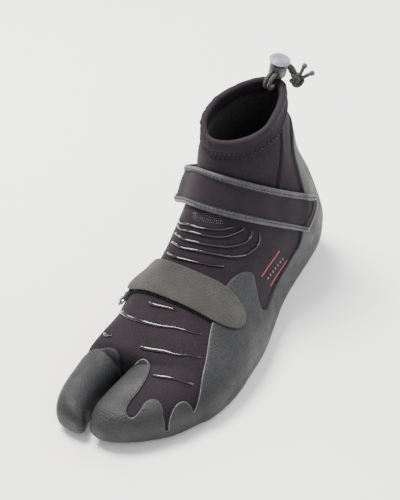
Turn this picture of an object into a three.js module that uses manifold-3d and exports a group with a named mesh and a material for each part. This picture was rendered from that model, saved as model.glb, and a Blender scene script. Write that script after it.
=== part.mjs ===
// Split-toe surf boot, left, standing empty on its sole. Millimetres, +Z up, toes towards -Y,
// little toe towards +X. "Along" is the distance from the back of the heel to the toes.
import * as THREE from "three";
import { mergeVertices } from "three/addons/utils/BufferGeometryUtils.js";
import Module from "manifold-3d";

const wasm = await Module();
wasm.setup();

// Sizes of the whole boot
const FOOT_LENGTH = 272; // heel to toe over the rubber
const BALL_WIDTH = 106; // across the ball over the rubber
const HEEL_WIDTH = 79; // across the heel over the rubber
const INSTEP_HEIGHT = 97; // floor to the top of the instep
const COLLAR_HEIGHT = 160; // floor to the rim at the back
const COLLAR_WIDTH = 49; // across the rim

// Sizes of the pieces
const WALL = 2; // neoprene
const RUBBER = 1.5; // rand over the neoprene
const GAP = 0.3; // between neighbouring pieces
const SOLE_THICKNESS = 4;
const TOE_SPRING = 8; // underside of the sole at the toe tip
const INSOLE_THICKNESS = 3;
const HEM_OUT = 0.7; // hem beyond the neoprene's outer face
const HEM_IN = 3.8; // hem inside it
const HEM_ROUND = 1.3; // step that rounds the rim
const LOOP_THICKNESS = 1.2; // hook-and-loop layer on the instep
const WEBBING = 3.2; // outer face of the forefoot strap over the neoprene
const ANKLE_BAND = 3.6; // outer face of the ankle strap over the neoprene
const TAB_OUT = 2.3; // outer face of the tab at the back
const TAB_WIDTH = 18;
const RIB_HEIGHT = 0.9;
const RIB_WIDTH = 2.6; // of the widest rib
const RING_RADIUS = 5.2;
const RING_WIRE = 1.1;
const CORD_RADIUS = 1.3;
const CORD_BEND = 5.4; // radius of its bends
const KNOT_RADIUS = 6;
const BARREL_RADIUS = 6.2;
const BARREL_HEIGHT = 10;
const BORE_RADIUS = 4.3;
const STEM_RADIUS = 4;
const STEM_IN = 1.2; // stem inside the bore when the button is up
const BUTTON_RADIUS = 7.5;
const BUTTON_HEIGHT = 3.4;
const BUTTON_LIFT = 2.3; // button's underside over the barrel
const SLOT_WIDTH = 6.6; // slot for the cord through the barrel
const SLOT_HEIGHT = 3.8;
const SLOT_UP = 3.2; // underside of the slot over the barrel's foot
const LOCK_TILT = 11.7; // degrees, towards the little toe's side

// Detail of the facets
const FOOT_RINGS = 19;
const TOE_RINGS = 8;
const FOOT_QUARTER = 6;
const TOE_QUARTER = 4;

// Sections of the foot and shaft. Each is a ring from a near point on the instep to a far point on
// the sole or heel, whose place across is "back". Along values are shares of FOOT_LENGTH. Heights up
// to 1 are shares of INSTEP_HEIGHT, and from 1 to 2 they go on to COLLAR_HEIGHT. Widths are shares
// of the named width.
const FOOT_COLUMNS = ["nearAlong", "nearHigh", "farAlong", "farHigh",
  "medial", "lateral", "ridge", "back", "belly", "floor", "top", "dip"];
const FORE = [ // of BALL_WIDTH
  [0.8018, 0.3258, 0.8088, -0.0119, 0.4468, 0.425, -0.0758, -0.0115, 0.4915, 3.4286, 2.2338, 0],
  [0.7897, 0.3918, 0.7943, -0.0356, 0.4697, 0.4548, -0.0993, -0.0091, 0.4689, 3.6291, 2.2739, 0],
  [0.7487, 0.455, 0.7496, -0.0482, 0.4635, 0.4824, -0.1135, 0.0098, 0.4344, 3.6232, 2.2894, 0],
  [0.687, 0.5388, 0.6824, -0.0606, 0.4428, 0.4984, -0.1255, 0.0286, 0.4058, 3.6111, 2.1252, 0],
  [0.6209, 0.6457, 0.6018, -0.0542, 0.4414, 0.4862, -0.1382, 0.0331, 0.3817, 3.4884, 2.1244, 0],
  [0.5733, 0.7323, 0.5178, -0.062, 0.4161, 0.4611, -0.1316, 0.0284, 0.3371, 3.2889, 1.891, 0],
  [0.5359, 0.8337, 0.4275, -0.0632, 0.4066, 0.4124, -0.1184, 0.0092, 0.3284, 2.9798, 1.852, 0],
];
const REAR = [ // of HEEL_WIDTH
  [0.4996, 0.9508, 0.3207, -0.0581, 0.5532, 0.4727, -0.139, -0.0327, 0.3649, 2.9741, 1.8499, 0],
  [0.4676, 1.0801, 0.2054, -0.0528, 0.5648, 0.4274, -0.1092, -0.0655, 0.418, 3.1695, 1.8633, 0],
  [0.4464, 1.2161, 0.094, -0.0453, 0.5716, 0.4054, -0.0949, -0.0834, 0.4534, 3.1483, 1.8796, 0],
  [0.4332, 1.3079, 0.0275, -0.0142, 0.5794, 0.4026, -0.0939, -0.0897, 0.4729, 2.8958, 1.8746, 0],
  [0.4271, 1.3583, 0.0106, 0.1204, 0.5748, 0.4216, -0.0927, -0.0855, 0.4495, 2.5787, 1.8465, 0],
  [0.4223, 1.3911, 0.0054, 0.2926, 0.5698, 0.4336, -0.0791, -0.0805, 0.4443, 2.1901, 1.8178, 0],
];
const SHAFT = [ // of COLLAR_WIDTH
  [0.419, 1.4575, 0.0211, 0.5219, 0.8825, 0.6661, -0.1308, -0.1201, 0.4659, 1.9823, 1.8516, 0],
  [0.4171, 1.519, 0.0543, 0.7915, 0.8146, 0.6031, -0.1155, -0.0909, 0.502, 1.9026, 1.8759, 0],
  [0.4181, 1.5763, 0.099, 1.0869, 0.741, 0.5574, -0.123, -0.0617, 0.5213, 1.7382, 1.8689, 0.0063],
  [0.4128, 1.6487, 0.1288, 1.4641, 0.664, 0.5167, -0.136, -0.0079, 0.5395, 1.7904, 1.849, 0.0094],
  [0.4069, 1.7301, 0.1441, 1.7673, 0.6095, 0.4565, -0.1599, 0.0324, 0.5742, 1.8388, 1.8308, 0.0094],
  [0.4015, 1.8751, 0.1467, 2.1158, 0.5777, 0.3924, -0.2223, -0.0055, 0.6268, 1.7679, 1.9679, 0.0063],
];
// Sections of the two toe pockets, widths as shares of BALL_WIDTH
const TOE_COLUMNS = ["along", "low", "high", "inner", "outer", "belly", "floor", "top"];
const BIG_TOE = [
  [0.7177, -0.0102, 0.3442, -0.4414, -0.1323, 0.4414, 3.19, 2.1848],
  [0.7789, -0.0279, 0.3295, -0.4677, -0.1784, 0.4471, 3.3969, 2.1154],
  [0.8362, -0.0249, 0.2845, -0.4568, -0.2055, 0.4523, 3.4057, 2.1467],
  [0.8987, -0.0148, 0.2662, -0.4351, -0.2142, 0.4627, 3.4188, 2.1641],
  [0.9435, 0.0057, 0.2565, -0.4029, -0.2019, 0.4719, 3.3379, 2.2129],
  [0.9713, 0.0272, 0.2431, -0.3665, -0.1736, 0.4787, 3.0605, 2.2516],
  [0.9882, 0.0469, 0.2134, -0.3299, -0.1547, 0.4861, 2.6772, 2.1862],
  [0.9941, 0.0705, 0.1759, -0.274, -0.1623, 0.4865, 2.2695, 2.0174],
];
const LESSER_TOES = [
  [0.7194, -0.0128, 0.3915, -0.1127, 0.44, 0.4201, 3.2065, 2.2],
  [0.7784, -0.0238, 0.3825, -0.1133, 0.4464, 0.4321, 3.3854, 2.2],
  [0.8332, -0.0138, 0.3478, -0.1234, 0.3978, 0.4541, 3.3631, 2.3],
  [0.8799, 0.002, 0.3232, -0.1309, 0.3374, 0.4656, 3.3411, 2.3],
  [0.9224, 0.0282, 0.2983, -0.1301, 0.2497, 0.4762, 3.2227, 2.3],
  [0.9545, 0.0534, 0.2729, -0.1171, 0.1678, 0.486, 2.9121, 2.3],
  [0.9752, 0.0718, 0.2314, -0.0971, 0.0893, 0.4949, 2.5113, 2.2],
  [0.9866, 0.0879, 0.1894, -0.0802, 0.0229, 0.5033, 2.1195, 2],
];
// Underside of the sole: [along, share of TOE_SPRING]
const UNDERSIDE = [
  [-0.0368, 0.2], [0, 0.15], [0.0221, 0.0375], [0.0441, 0],
  [0.1324, 0], [0.2206, 0], [0.2757, 0.0625], [0.3493, 0.175],
  [0.4228, 0.175], [0.4963, 0.075], [0.5515, 0], [0.6434, 0],
  [0.7353, 0], [0.7794, 0.025], [0.8309, 0.125], [0.8824, 0.2875],
  [0.9338, 0.5], [0.9853, 0.75], [1.0294, 1], [1.0662, 1.225],
];
// Edges of the rubber seen from the side, [along, height]
const RAND_OUTER = [
  [1.1029, -0.2062], [1.1029, 0.1237], [0.8603, 0.1237], [0.8382, 0.1598],
  [0.804, 0.2598], [0.7676, 0.3361], [0.6915, 0.4495], [0.6526, 0.5134],
  [0.5993, 0.5938], [0.5511, 0.6371], [0.5272, 0.6588], [0.4993, 0.6629],
  [0.4783, 0.6454], [0.4676, 0.6155], [0.4702, 0.5794], [0.493, 0.4588],
  [0.4982, 0.4052], [0.4875, 0.3649], [0.4699, 0.3474], [0.3904, 0.3773],
  [0.2717, 0.4186], [0.2445, 0.433], [0.229, 0.4691], [0.2191, 0.5361],
  [0.2206, 0.7216], [0.2257, 1.1429], [0.2184, 1.4238], [0.2059, 1.5143],
  [0.1691, 1.5905], [0.1029, 1.6286], [-0.1471, 1.6349], [-0.1471, -0.2062],
];
const RAND_INNER = [
  [1.1029, -0.2062], [1.1029, 0.1701], [0.8529, 0.1701], [0.7868, 0.1649],
  [0.7206, 0.1804], [0.6765, 0.2474], [0.6471, 0.3402], [0.6176, 0.3918],
  [0.5809, 0.4072], [0.5515, 0.3763], [0.5221, 0.3144], [0.4706, 0.2887],
  [0.3676, 0.3041], [0.2849, 0.3402], [0.25, 0.3866], [0.229, 0.4691],
  [0.2191, 0.5361], [0.2206, 0.7216], [0.2257, 1.1429], [0.2184, 1.4238],
  [0.2059, 1.5143], [0.1691, 1.5905], [0.1029, 1.6286], [-0.1471, 1.6349],
  [-0.1471, -0.2062],
];
// Edges of the toe caps seen from above, [across of BALL_WIDTH, along]
const BIG_CAP = [
  [-0.6604, 0.8346], [-0.4528, 0.8265], [-0.4075, 0.8136], [-0.3632, 0.8011],
  [-0.2991, 0.7956], [-0.2396, 0.7949], [-0.1915, 0.8], [-0.1689, 0.8055],
  [-0.1396, 0.8074], [-0.1396, 1.1029], [-0.6604, 1.1029],
];
const LESSER_CAPS = [
  [-0.1406, 0.8066], [-0.0906, 0.8059], [-0.0557, 0.7993], [-0.0085, 0.7923],
  [0.034, 0.7949], [0.0585, 0.807], [0.0821, 0.8353], [0.0934, 0.8757],
  [0.0877, 0.9165], [0.0991, 0.9393], [0.1283, 0.9482], [0.1528, 0.9426],
  [0.166, 0.9206], [0.1689, 0.8967], [0.1943, 0.8809], [0.2358, 0.8772],
  [0.2755, 0.8857], [0.2953, 0.9], [0.3094, 0.9033], [0.3179, 0.8952],
  [0.3189, 0.8783], [0.3236, 0.8559], [0.3462, 0.8379], [0.3821, 0.8301],
  [0.4245, 0.8294], [0.6604, 0.8294], [0.6604, 1.1029], [-0.1406, 1.1029],
];
// Straps seen from the side, [along, height]
const ANKLE_STRAP = [
  [0.5184, 1.2143], [0.489, 1.6429], [0.4309, 1.4635], [0.3853, 1.3429],
  [0.3331, 1.1889], [0.2592, 0.9701], [0.1908, 0.8206], [0.1765, 0.7784],
  [0.1699, 0.6804], [0.1706, 0.5464], [0.182, 0.5113], [0.2033, 0.5216],
  [0.257, 0.6144], [0.3485, 0.8], [0.4125, 0.933], [0.4548, 1.0254],
  [0.4787, 1.0984],
];
const FOREFOOT_STRAP = [
  [0.6599, 0.7629], [0.6537, 0.6289], [0.6482, 0.5773], [0.6419, 0.5206],
  [0.6287, 0.4773], [0.6066, 0.4515], [0.5809, 0.4536], [0.5643, 0.4845],
  [0.5563, 0.5464], [0.5551, 0.6464], [0.5673, 0.7113], [0.5746, 0.7526],
  [0.5809, 0.866],
];
const LOOP_LAYER = [
  [0.6728, 0.7629], [0.6588, 0.6186], [0.6522, 0.5722], [0.6463, 0.5237],
  [0.6305, 0.4773], [0.5956, 0.4773], [0.5746, 0.5361], [0.571, 0.6392],
  [0.5801, 0.7629], [0.5882, 0.866],
];
// Lower and upper edge of the collar hem seen from the side
const HEM_LOW = [
  [1.2132, 1.4444], [0.4779, 1.5794], [0.4118, 1.6429], [0.3849, 1.6508],
  [0.3426, 1.6905], [0.2772, 1.7429], [0.2132, 1.8127], [0.1471, 1.8635],
  [-0.0735, 1.8968],
];
const HEM_TOP = [
  [1.2132, 1.3651], [0.4779, 1.7968], [0.4044, 1.8032], [0.2757, 1.9413],
  [0.1471, 2.0206], [-0.0735, 2.1429],
];
// Raised ribs seen from above: name, share of RIB_WIDTH, centre line [across of BALL_WIDTH, along]
const RIBS = [
  ["forefoot_rib_1", 0.85, [
    [-0.1858, 0.6713], [-0.1226, 0.6724], [-0.0358, 0.6673], [0.0349, 0.664]]],
  ["forefoot_rib_2", 1, [
    [-0.3708, 0.6926], [-0.1321, 0.718], [-0.0189, 0.7121], [0.0745, 0.7011], [0.2491, 0.6801]]],
  ["forefoot_rib_3", 1, [
    [-0.083, 0.7768], [0.0123, 0.7695], [0.0943, 0.761], [0.2349, 0.7426], [0.3151, 0.7287]]],
  ["forefoot_rib_4", 0.92, [
    [0.0934, 0.8254], [0.166, 0.8176], [0.2443, 0.8077], [0.3066, 0.8007], [0.3613, 0.7912]]],
  ["medial_rib", 0.85, [
    [-0.3858, 0.7603], [-0.3292, 0.7717], [-0.2925, 0.7673]]],
  ["instep_rib_1", 0.65, [
    [-0.2349, 0.546], [-0.1566, 0.5599], [-0.0566, 0.557], [0.0962, 0.5382], [0.1651, 0.5195]]],
  ["instep_rib_2", 0.65, [
    [-0.234, 0.5232], [-0.133, 0.5404], [0.0689, 0.5202], [0.2142, 0.4643], [0.2434, 0.4092],
    [0.2245, 0.389]]],
  ["instep_rib_3", 0.65, [
    [-0.2377, 0.504], [-0.1387, 0.525], [0.0387, 0.511], [0.1575, 0.4717], [0.2057, 0.4235],
    [0.1887, 0.4121]]],
  ["instep_rib_4", 0.62, [
    [-0.2519, 0.4842], [-0.1632, 0.5088], [-0.0585, 0.5088], [0.0991, 0.4768], [0.1726, 0.4239]]],
  ["instep_rib_5", 0.62, [
    [-0.2557, 0.4728], [-0.1858, 0.4949], [-0.0717, 0.5], [0.0632, 0.4757], [0.1245, 0.4485]]],
];
const STRAP_FOOT = 0.485; // height at which the forefoot strap ends on the inner side
const RING_PLACE = [-0.4547, 0.6324, 0.3835]; // across, along, height
const LOCK_PLACE = [0.0038, 0.1471, 2.0421]; // foot of the cord lock
const KNOT_PLACE = [0.0925, 0.1029, 1.9251];
const END_PLACES = [[0.1651, 0.1112, 2.17], [0.2242, 0.1112, 2.1]]; // tips of the two cord ends

const alongY = (share) => (0.5 - share) * FOOT_LENGTH;
const heightAt = (share) => share <= 1
  ? share * INSTEP_HEIGHT
  : INSTEP_HEIGHT + (share - 1) * (COLLAR_HEIGHT - INSTEP_HEIGHT);
const place = ([across, along, high]) =>
  new THREE.Vector3(across * BALL_WIDTH, alongY(along), heightAt(high));

// A geometry as a solid that faces out
function solidOf(geometry) {
  const bare = geometry.clone();
  bare.deleteAttribute("normal");
  bare.deleteAttribute("uv");
  const merged = mergeVertices(bare, 1e-4);
  const vertProperties = new Float32Array(merged.getAttribute("position").array);
  const triVerts = new Uint32Array(merged.index.array);
  const build = () => new wasm.Manifold(new wasm.Mesh({ numProp: 3, vertProperties, triVerts }));
  const made = build();
  if (made.volume() > 0) return made;
  for (let i = 0; i < triVerts.length; i += 3) {
    const keep = triVerts[i + 1];
    triVerts[i + 1] = triVerts[i + 2];
    triVerts[i + 2] = keep;
  }
  return build();
}
const join = (solids) => solids.reduce((sum, solid) => sum.add(solid));

function meshOf(name, solid, colour, roughness, metalness = 0) {
  const data = solid.getMesh();
  const count = data.vertProperties.length / data.numProp;
  const positions = new Float32Array(count * 3);
  for (let i = 0; i < count; i++) {
    for (let k = 0; k < 3; k++) positions[3 * i + k] = data.vertProperties[data.numProp * i + k];
  }
  const geometry = new THREE.BufferGeometry();
  geometry.setAttribute("position", new THREE.BufferAttribute(positions, 3));
  geometry.setIndex(new THREE.BufferAttribute(new Uint32Array(data.triVerts), 1));
  const material = new THREE.MeshStandardMaterial({ color: colour, roughness, metalness });
  const mesh = new THREE.Mesh(geometry, material);
  mesh.name = name;
  return mesh;
}

// A smooth run of values through the rows of a table
function throughRows(rows, count) {
  const out = [];
  const last = rows.length - 1;
  for (let i = 0; i < count; i++) {
    const t = (i * last) / (count - 1);
    const k = Math.min(Math.floor(t), last - 1);
    const s = t - k;
    const [p0, p1, p2, p3] = [k - 1, k, k + 1, k + 2].map((j) => rows[Math.min(Math.max(j, 0), last)]);
    out.push(p1.map((value, c) => value + 0.5 * s * (p2[c] - p0[c]
      + s * (2 * p0[c] - 5 * value + 4 * p2[c] - p3[c] + s * (3 * (value - p2[c]) + p3[c] - p0[c])))));
  }
  return out;
}
const named = (row, columns) => Object.fromEntries(columns.map((name, i) => [name, row[i]]));

// One closed ring between a near and a far point
function ringPoints(near, far, inner, outer, ridge, back, belly, floor, top, quarter, dip) {
  const points = [];
  const put = (x, share) => points.push(new THREE.Vector3(
    x,
    far.y + share * (near.y - far.y),
    far.z + share * (near.z - far.z) - dip * 4 * share * (1 - share),
  ));
  const low = (u, side) => put(back + (side - back) * Math.sin(u) ** (2 / floor),
    belly * (1 - Math.cos(u) ** (2 / floor)));
  const high = (u, side) => put(ridge + (side - ridge) * Math.cos(u) ** (2 / top),
    belly + (1 - belly) * Math.sin(u) ** (2 / top));
  const steps = [...Array(quarter).keys()].map((i) => (i * Math.PI) / 2 / quarter);
  steps.forEach((u) => low(u, outer));
  steps.forEach((u) => high(u, outer));
  steps.forEach((u) => high(Math.PI / 2 - u, inner));
  steps.forEach((u) => low(Math.PI / 2 - u, inner));
  return points;
}

function footRings() {
  const widths = [[FORE, BALL_WIDTH], [REAR, HEEL_WIDTH], [SHAFT, COLLAR_WIDTH]];
  const rows = widths.flatMap(([table, width]) => table.map((row) => {
    const r = named(row, FOOT_COLUMNS);
    return [alongY(r.nearAlong), heightAt(r.nearHigh), alongY(r.farAlong), heightAt(r.farHigh),
      -r.medial * width, r.lateral * width, r.ridge * width, r.back * width, r.belly, r.floor,
      r.top, r.dip * COLLAR_HEIGHT];
  }));
  return throughRows(rows, FOOT_RINGS).map((r) => ringPoints(
    { y: r[0], z: r[1] }, { y: r[2], z: r[3] }, r[4], r[5], r[6], r[7], r[8], r[9], r[10],
    FOOT_QUARTER, r[11],
  ));
}

function toeRings(table) {
  const rows = table.map((row) => {
    const r = named(row, TOE_COLUMNS);
    return [alongY(r.along), heightAt(r.low), heightAt(r.high), r.inner * BALL_WIDTH,
      r.outer * BALL_WIDTH, r.belly, r.floor, r.top];
  });
  return throughRows(rows, TOE_RINGS).map((r) => ringPoints(
    { y: r[0], z: r[2] }, { y: r[0], z: r[1] }, r[3], r[4], (r[3] + r[4]) / 2, (r[3] + r[4]) / 2,
    r[5], r[6], r[7], TOE_QUARTER, 0,
  ));
}

// A skin through rings, capped at both ends, moved out along its own normals
function loft(rings, grow) {
  const around = rings[0].length;
  const points = rings.flat();
  const faces = [];
  for (let i = 0; i < rings.length - 1; i++) {
    for (let j = 0; j < around; j++) {
      const a = i * around + j;
      const b = i * around + ((j + 1) % around);
      faces.push([a, a + around, b], [b, a + around, b + around]);
    }
  }
  const centreOf = (ring) => ring.reduce((sum, p) => sum.add(p), new THREE.Vector3())
    .divideScalar(around);
  const last = (rings.length - 1) * around;
  points.push(centreOf(rings[0]), centreOf(rings[rings.length - 1]));
  for (let j = 0; j < around; j++) {
    const k = (j + 1) % around;
    faces.push([points.length - 2, j, k], [points.length - 1, last + k, last + j]);
  }
  const geometry = new THREE.BufferGeometry();
  geometry.setAttribute("position",
    new THREE.BufferAttribute(new Float32Array(points.flatMap((p) => p.toArray())), 3));
  geometry.setIndex(faces.flat());
  geometry.computeVertexNormals();
  const position = geometry.getAttribute("position");
  const normal = geometry.getAttribute("normal");
  const sign = signedVolume(geometry) > 0 ? 1 : -1;
  for (let i = 0; i < position.count; i++) {
    position.setXYZ(i,
      position.getX(i) + sign * grow * normal.getX(i),
      position.getY(i) + sign * grow * normal.getY(i),
      position.getZ(i) + sign * grow * normal.getZ(i));
  }
  return solidOf(geometry);
}

function signedVolume(geometry) {
  const at = geometry.getAttribute("position");
  const corner = (i) => new THREE.Vector3().fromBufferAttribute(at, geometry.index.getX(i));
  let six = 0;
  for (let i = 0; i < geometry.index.count; i += 3) {
    six += corner(i).dot(corner(i + 1).cross(corner(i + 2)));
  }
  return six / 6;
}

// The whole form of the boot, grown out or in, kept once made
const forms = new Map();
function form(grow) {
  if (!forms.has(grow)) {
    forms.set(grow, join([
      loft(footRings(), grow),
      loft(toeRings(BIG_TOE), grow),
      loft(toeRings(LESSER_TOES), grow),
    ]));
  }
  return forms.get(grow);
}
const layer = (inner, outer) => form(outer).subtract(form(inner));

// A closed outline moved out by a margin
function widened(points, margin) {
  const area = points.reduce((sum, p, i) => {
    const q = points[(i + 1) % points.length];
    return sum + p[0] * q[1] - q[0] * p[1];
  }, 0);
  const way = area > 0 ? 1 : -1;
  return points.map((p, i) => {
    const before = points[(i + points.length - 1) % points.length];
    const after = points[(i + 1) % points.length];
    const turn = (from, to) => {
      const size = Math.hypot(to[0] - from[0], to[1] - from[1]);
      return [way * (to[1] - from[1]) / size, way * (from[0] - to[0]) / size];
    };
    const [m, n] = [turn(before, p), turn(p, after)];
    const spread = Math.max(1 + m[0] * n[0] + m[1] * n[1], 0.5);
    return [p[0] + (margin * (m[0] + n[0])) / spread, p[1] + (margin * (m[1] + n[1])) / spread];
  });
}

function prism(points, depth, matrix) {
  const shape = new THREE.Shape(points.map(([a, b]) => new THREE.Vector2(a, b)));
  const geometry = new THREE.ExtrudeGeometry(shape, { depth, bevelEnabled: false, steps: 1 });
  geometry.applyMatrix4(matrix);
  return solidOf(geometry);
}
// Outline given from the side, in y and z, running across from one x to another
function sidePrism(points, from, to) {
  const matrix = new THREE.Matrix4().set(0, 0, 1, from, 1, 0, 0, 0, 0, 1, 0, 0, 0, 0, 0, 1);
  return prism(points, to - from, matrix);
}
// Outline given from above, in x and y, running up from one z to another
function topPrism(points, from, to) {
  return prism(points, to - from, new THREE.Matrix4().makeTranslation(0, 0, from));
}
const fromSide = (table) => table.map(([along, high]) => [alongY(along), heightAt(high)]);
const fromAbove = (table) => table.map(([across, along]) => [across * BALL_WIDTH, alongY(along)]);
const box = (x0, x1, y0, y1, z0, z1) => topPrism([[x0, y0], [x1, y0], [x1, y1], [x0, y1]], z0, z1);

const WIDE = 2 * BALL_WIDTH; // beyond every piece
const HIGH = 2 * COLLAR_HEIGHT;
const underside = () => UNDERSIDE.map(([along, rise]) => [alongY(along), rise * TOE_SPRING]);

// The space between two heights over the sole's underside
function overSole(low, high) {
  const line = underside();
  const upper = high === null
    ? [[line[line.length - 1][0], HIGH], [line[0][0], HIGH]]
    : line.map(([y, z]) => [y, z + high]).reverse();
  return sidePrism([...line.map(([y, z]) => [y, z + low]), ...upper], -WIDE, WIDE);
}
// The space under a line seen from the side
function under(table, lift) {
  const line = fromSide(table).map(([y, z]) => [y, z + lift]);
  return sidePrism([...line, [line[line.length - 1][0], -HIGH], [line[0][0], -HIGH]], -WIDE, WIDE);
}

// The sole's sides go on flush from the rubber above it
const outsole = () => form(GAP + RUBBER).intersect(overSole(0, SOLE_THICKNESS));

function insole() {
  const low = SOLE_THICKNESS + GAP;
  return form(-WALL - GAP).intersect(overSole(low, low + INSOLE_THICKNESS));
}

function upper() {
  return layer(-WALL, 0).intersect(overSole(SOLE_THICKNESS + GAP, null)).intersect(under(HEM_LOW, -GAP));
}

// The space that the rubber takes up, without its thickness
function randSpace(margin) {
  const side = (table, from, to) => sidePrism(widened(fromSide(table), margin), from, to);
  const cap = (table) => topPrism(widened(fromAbove(table), margin), -HIGH, HIGH);
  return join([
    side(RAND_OUTER, -margin - RUBBER, WIDE),
    side(RAND_INNER, -WIDE, margin + RUBBER),
    cap(BIG_CAP),
    cap(LESSER_CAPS),
  ]).intersect(overSole(SOLE_THICKNESS + GAP - margin, null));
}
const rand = () => layer(GAP, GAP + RUBBER).intersect(randSpace(0));
const overRubber = () => form(2 * GAP + RUBBER).intersect(randSpace(GAP));

function collarHem() {
  const above = (lift) => sidePrism([...fromSide(HEM_LOW).map(([y, z]) => [y, z + lift]),
    [alongY(0) + HIGH, HIGH], [alongY(1), HIGH]], -WIDE, WIDE);
  const thick = layer(-HEM_IN, HEM_OUT).intersect(under(HEM_TOP, -HEM_ROUND));
  const rim = layer(HEM_ROUND - HEM_IN, HEM_OUT - HEM_ROUND).intersect(under(HEM_TOP, 0));
  return thick.add(rim).intersect(above(0));
}

function backTab() {
  const lockX = LOCK_PLACE[0] * BALL_WIDTH;
  const space = box(lockX - TAB_WIDTH / 2, lockX + TAB_WIDTH / 2,
    alongY(0.25), alongY(-0.1), heightAt(1.79), heightAt(1.975));
  return layer(HEM_OUT + GAP, TAB_OUT).intersect(space);
}

function ankleStrap() {
  const band = layer(GAP, ANKLE_BAND).intersect(sidePrism(fromSide(ANKLE_STRAP), -WIDE, WIDE));
  return band.subtract(overRubber());
}

function loopLayer() {
  const band = layer(GAP, GAP + LOOP_THICKNESS)
    .intersect(sidePrism(fromSide(LOOP_LAYER), -WIDE, WIDE));
  return band.subtract(overRubber());
}
function forefootStrap() {
  const foot = heightAt(STRAP_FOOT);
  const band = layer(GAP, WEBBING).intersect(sidePrism(fromSide(FOREFOOT_STRAP), -WIDE, WIDE));
  const underIt = form(2 * GAP + LOOP_THICKNESS)
    .intersect(sidePrism(widened(fromSide(LOOP_LAYER), GAP), -WIDE, WIDE));
  const below = box(-WIDE, 0, -FOOT_LENGTH, FOOT_LENGTH, -HIGH, foot);
  return band.subtract(underIt).subtract(overRubber()).subtract(below);
}

function ring() {
  const turn = (i) => (i * Math.PI * 2) / 8;
  const profile = [...Array(9).keys()].map((i) => new THREE.Vector2(
    RING_RADIUS + RING_WIRE * Math.cos(turn(i % 8)), RING_WIRE * Math.sin(turn(i % 8)),
  ));
  const geometry = new THREE.LatheGeometry(profile, 14);
  const lean = new THREE.Quaternion().setFromUnitVectors(
    new THREE.Vector3(0, 1, 0), new THREE.Vector3(-0.93, 0, 0.36).normalize(),
  );
  geometry.applyQuaternion(lean);
  const at = place(RING_PLACE);
  geometry.translate(at.x, at.y, at.z);
  return solidOf(geometry);
}

function rib([, share, table]) {
  const points = table.map(([across, along]) =>
    new THREE.Vector3(across * BALL_WIDTH, alongY(along), 0));
  const curve = new THREE.CatmullRomCurve3(points, false, "centripetal");
  const count = 3 * (points.length - 1);
  const left = [];
  const right = [];
  for (let i = 0; i <= count; i++) {
    const p = curve.getPoint(i / count);
    const t = curve.getTangent(i / count);
    const half = (share * RIB_WIDTH / 2) * (i === 0 || i === count ? 0.35 : 1);
    left.push([p.x - t.y * half, p.y + t.x * half]);
    right.unshift([p.x + t.y * half, p.y - t.x * half]);
  }
  return layer(GAP, GAP + RIB_HEIGHT).intersect(topPrism([...left, ...right], 0, HIGH));
}

// Pieces of the cord lock stand on the origin and are then tilted and carried to their place
function lockMatrix() {
  const turn = new THREE.Matrix4().makeRotationY((LOCK_TILT * Math.PI) / 180);
  const at = place(LOCK_PLACE);
  return new THREE.Matrix4().makeTranslation(at.x, at.y, at.z).multiply(turn);
}
function turned(profile, sides) {
  const geometry = new THREE.LatheGeometry(profile.map(([r, z]) => new THREE.Vector2(r, z)), sides);
  geometry.rotateX(Math.PI / 2);
  return geometry;
}
function lockBarrel() {
  const [r, h] = [BARREL_RADIUS, BARREL_HEIGHT];
  const profile = [[0, 0], [r - 1.6, 0], [r - 0.4, 1], [r, 2.6], [r, h - 1], [r - 0.8, h],
    [BORE_RADIUS, h], [BORE_RADIUS, SLOT_UP - 1], [0, SLOT_UP - 1], [0, 0]];
  const slot = box(-SLOT_WIDTH / 2, SLOT_WIDTH / 2, -2 * r, 2 * r, SLOT_UP, SLOT_UP + SLOT_HEIGHT);
  const body = solidOf(turned(profile, 16)).subtract(slot);
  return body.transform(lockMatrix().elements);
}
function lockButton() {
  const foot = BARREL_HEIGHT - STEM_IN;
  const dome = BARREL_HEIGHT + BUTTON_LIFT;
  const [r, h] = [BUTTON_RADIUS, BUTTON_HEIGHT];
  const profile = [[0, foot], [STEM_RADIUS, foot], [STEM_RADIUS, dome], [r - 0.8, dome],
    [r, dome + 0.9], [r - 0.3, dome + 0.35 * h], [r * 0.8, dome + 0.68 * h],
    [r * 0.45, dome + 0.93 * h], [0, dome + h], [0, foot]];
  return solidOf(turned(profile, 16)).transform(lockMatrix().elements);
}

function tube(points, radius) {
  const curve = new THREE.CatmullRomCurve3(points, false, "centripetal");
  const section = new THREE.Shape([...Array(6).keys()].map((i) => new THREE.Vector2(
    radius * Math.cos((i * Math.PI) / 3), radius * Math.sin((i * Math.PI) / 3),
  )));
  return solidOf(new THREE.ExtrudeGeometry(section, {
    steps: 2 * (points.length - 1), bevelEnabled: false, extrudePath: curve,
  }));
}
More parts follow.
